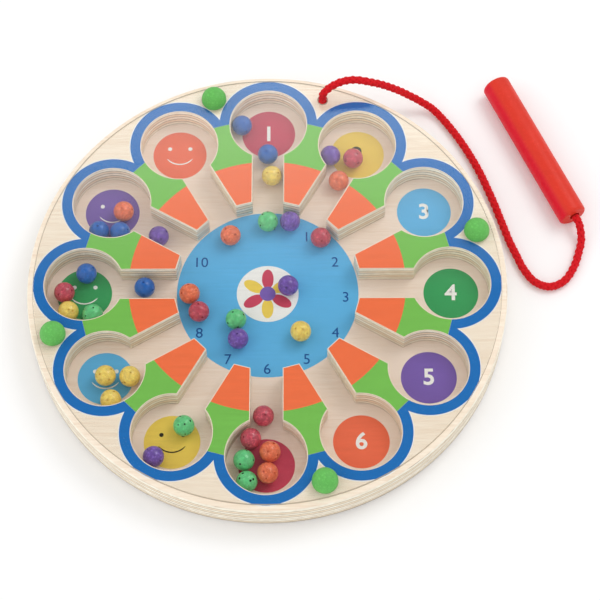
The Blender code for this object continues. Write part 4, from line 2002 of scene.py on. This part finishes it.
@dataclass
class Wand:
    """Turned handle with a magnet in one end and the cord in the other."""

    diameter: float = 0.0182
    length: float = 0.109
    end_rounding: float = 0.002
    eased: float = 0.0002
    magnet_diameter: float = 0.010
    magnet_length: float = 0.012
    magnet_chamfer: float = 0.0004
    socket_depth: float = 0.012
    socket_diameter: float = 0.0064
    socket_offset: float = 0.001
    corner_steps: int = 8
    steps: int = 96

    def place(self) -> Matrix:
        """Find where the wand lies, with the magnet's end along its own +Z.

        Returns:
            Its place and turn.
        """
        handle, direction = wand_line()
        side = direction.cross(UP)
        turn = Matrix((side, UP, -direction)).transposed().to_4x4()
        return Matrix.Translation(handle) @ turn

    def build(self) -> None:
        """Build the handle and its magnet."""
        half = self.length / 2
        profile = disc_profile(self.diameter / 2, -half, half, self.end_rounding, self.end_rounding,
                               self.corner_steps)
        magnet_bore = (0.0, 0.0, self.magnet_diameter / 2 + FIT_GAP, half - self.magnet_length - 2 * FIT_GAP,
                       half + CUT_OVERRUN)
        socket = (-self.socket_offset, 0.0, self.socket_diameter / 2, -half - CUT_OVERRUN,
                  self.socket_depth - half)
        cutter = cylinders("wand_bores", [magnet_bore, socket])
        mesh = carve(lathe("wand_turned", profile, self.steps), [cutter])
        ease_edges(mesh, self.eased)
        mesh.transform(self.place())
        # Painted shade: the wand's side that faces away from the key lamp is painted a darker crimson.
        paint = GlossPaint("wand_red", screen(221, 54, 36), roughness=0.42, specular=0.2, coat=0.05,
                           cloud=0.22, specks=0.12, wear=0.35, scale=90.0, relief=0.10,
                           deep=screen(218, 12, 40), away=(-0.79, -0.47, -0.39))
        fit_piece("wand_turned", smooth(mesh), [paint], "wand", ("wand_handle",))
        top = half - FIT_GAP
        bottom = top - self.magnet_length
        edge, chamfer = self.magnet_diameter / 2, self.magnet_chamfer
        profile = [(0.0, top), (edge - chamfer, top), (edge, top - chamfer), (edge, bottom + chamfer),
                   (edge - chamfer, bottom), (0.0, bottom)]
        magnet = lathe("magnet_plated", profile, self.steps)
        magnet.transform(self.place())
        fit_piece("magnet_plated", smooth(magnet), [NickelPlate()], "wand", ("wand_magnet",))


# The studio


@dataclass(frozen=True)
class FloorPaper(Finish):
    """Plain pale paper that shows a little brighter than its light alone would make it."""

    title: str = "pale_floor"
    paper: Colour = screen(251, 251, 251)
    paler: Colour = screen(253, 253, 253)
    lift: float = 0.02

    CLOUD_SCALE = 30.0
    LIFT_COLOUR = (1.0, 1.0, 1.0, 1.0)

    def shade(self, tree: NodeTree, skin: Node) -> None:
        """Feed the Principled shader of the finish.

        Args:
            tree: The material's tree.
            skin: Its Principled BSDF.
        """
        clouds = noise(tree, object_place(tree), self.CLOUD_SCALE, 3.0)
        tree.links.new(blend_colours(tree, clouds, self.paper, self.paler), skin.inputs["Base Color"])
        skin.inputs["Roughness"].default_value = 1.0
        skin.inputs["Specular IOR Level"].default_value = 0.0
        rays = add_node(tree, "ShaderNodeLightPath")
        through = maths(tree, "MAXIMUM", rays.outputs["Is Glossy Ray"], rays.outputs["Is Transmission Ray"])
        seen = maths(tree, "MAXIMUM", rays.outputs["Is Camera Ray"], through)
        skin.inputs["Emission Color"].default_value = self.LIFT_COLOUR
        tree.links.new(maths(tree, "MULTIPLY", seen, self.lift), skin.inputs["Emission Strength"])


@dataclass(frozen=True)
class Lamp:
    """Soft square lamp that points at the board."""

    name: str
    place: tuple[float, float, float]
    size: float
    power: float

    def hang(self) -> None:
        """Hang the lamp in its place."""
        data = bpy.data.lights.new(self.name, "AREA")
        data.shape = "SQUARE"
        data.size = self.size
        data.energy = self.power
        lamp = loose_object(self.name, data)
        lamp.location = self.place
        lamp.rotation_euler = Vector(self.place).to_track_quat("Z", "Y").to_euler()


@dataclass
class Studio:
    """Camera at the photograph's angle, a plain pale floor, and soft lamps."""

    lens: float = 121.67
    sensor: float = 36.0
    distance: float = 1.2613
    elevation: float = 64.729
    azimuth: float = 0.702
    roll: float = -0.824
    target: tuple[float, float, float] = (0.02046, -0.01123, 0.0223)
    floor_size: float = 12.0
    floor_drop: float = 0.0002
    ambient: float = 0.80
    near_wall: float = 0.55
    wall_way: tuple[float, float, float] = (-0.92, -0.39, 0.0)
    dark_ceiling: float = 0.10
    pale_walls: float = 0.60
    back_window: float = 1.70

    LAMPS = (Lamp("key_lamp", (0.75, 0.55, 1.20), 0.70, 5.4), Lamp("fill_lamp", (-1.2, -0.5, 0.9), 1.20, 2.4))
    CEILING_RANGE = (0.75, 0.90)
    BEHIND_RANGE = (0.43, 0.52)
    WINDOW_RANGE = (0.70, 0.80)
    NEAR_RANGE = (0.1, 0.8)
    LOW_RANGE = (0.6, 0.3)

    def build(self) -> None:
        """Build the floor, the world and the lamps."""
        self.build_floor()
        self.build_world()
        for lamp in self.LAMPS:
            lamp.hang()
        bpy.context.scene.view_settings.view_transform = "Standard"

    def build_camera(self) -> None:
        """Place the camera."""
        angles = (self.elevation, self.azimuth, self.roll)
        elevation, azimuth, roll = (math.radians(angle) for angle in angles)
        flat = math.cos(elevation)
        back = Vector((math.sin(azimuth) * flat, -math.cos(azimuth) * flat, math.sin(elevation)))
        right = (-back).cross(UP).normalized()
        up = right.cross(-back)
        across = right * math.cos(roll) + up * math.sin(roll)
        upward = up * math.cos(roll) - right * math.sin(roll)
        data = bpy.data.cameras.new("photo_camera")
        data.lens = self.lens
        data.sensor_width = self.sensor
        data.sensor_fit = "HORIZONTAL"
        data.clip_end = 50.0
        camera = loose_object("photo_camera", data)
        turn = Matrix((across, upward, back)).transposed().to_4x4()
        camera.matrix_world = Matrix.Translation(Vector(self.target) + back * self.distance) @ turn
        bpy.context.scene.camera = camera

    def build_floor(self) -> None:
        """Lay the pale floor."""
        shape = bmesh.new()
        bmesh.ops.create_grid(shape, x_segments=4, y_segments=4, size=self.floor_size / 2)
        mesh = bpy.data.meshes.new("floor")
        shape.to_mesh(mesh)
        shape.free()
        mesh.materials.append(FloorPaper().material())
        floor = loose_object("floor", mesh)
        floor.location.z = -self.floor_drop

    def build_world(self) -> None:
        """Light the room evenly, and give the gloss a dark ceiling and a bright window behind the board."""
        world = bpy.data.worlds.new("studio")
        bpy.context.scene.world = world
        world.use_nodes = True
        tree = world.node_tree
        sky = tree.nodes["Background"]
        sky.inputs["Color"].default_value = (1.0, 1.0, 1.0, 1.0)
        direction = add_node(tree, "ShaderNodeTexCoord").outputs["Generated"]
        way = add_node(tree, "ShaderNodeSeparateXYZ", {0: direction})
        walls = ramp(tree, way.outputs["Z"], *self.CEILING_RANGE, self.pale_walls, self.dark_ceiling)
        behind = ramp(tree, way.outputs["Y"], *self.BEHIND_RANGE, 0.0, self.back_window)
        high = ramp(tree, way.outputs["Z"], *self.WINDOW_RANGE)
        gloss = maths(tree, "ADD", walls, maths(tree, "MULTIPLY", behind, high))
        rays = add_node(tree, "ShaderNodeLightPath")
        towards = add_node(tree, "ShaderNodeVectorMath", {0: direction, 1: self.wall_way},
                           operation="DOT_PRODUCT")
        near = ramp(tree, towards.outputs["Value"], *self.NEAR_RANGE, 0.0, self.near_wall)
        low = ramp(tree, way.outputs["Z"], *self.LOW_RANGE)
        soft = maths(tree, "ADD", self.ambient, maths(tree, "MULTIPLY", near, low))
        shine = add_node(tree, "ShaderNodeMix", {0: rays.outputs["Is Glossy Ray"], 2: soft, 3: gloss})
        seen = add_node(tree, "ShaderNodeMix",
                        {0: rays.outputs["Is Camera Ray"], 2: shine.outputs[0], 3: 1.0})
        tree.links.new(seen.outputs[0], sky.inputs["Strength"])


def main() -> None:
    """Build every sub-assembly in order."""
    logging.basicConfig(level=logging.INFO, format="%(name)s: %(message)s")
    studio = Studio()
    studio.build_camera()
    Cord().build()
    maze = Maze(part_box("maze_plate")[1].x)
    Board(maze).build()
    Prints(maze).build()
    Cover().build()
    Beads().build()
    Wand().build()
    studio.build()


if __name__ == "__main__":
    main()
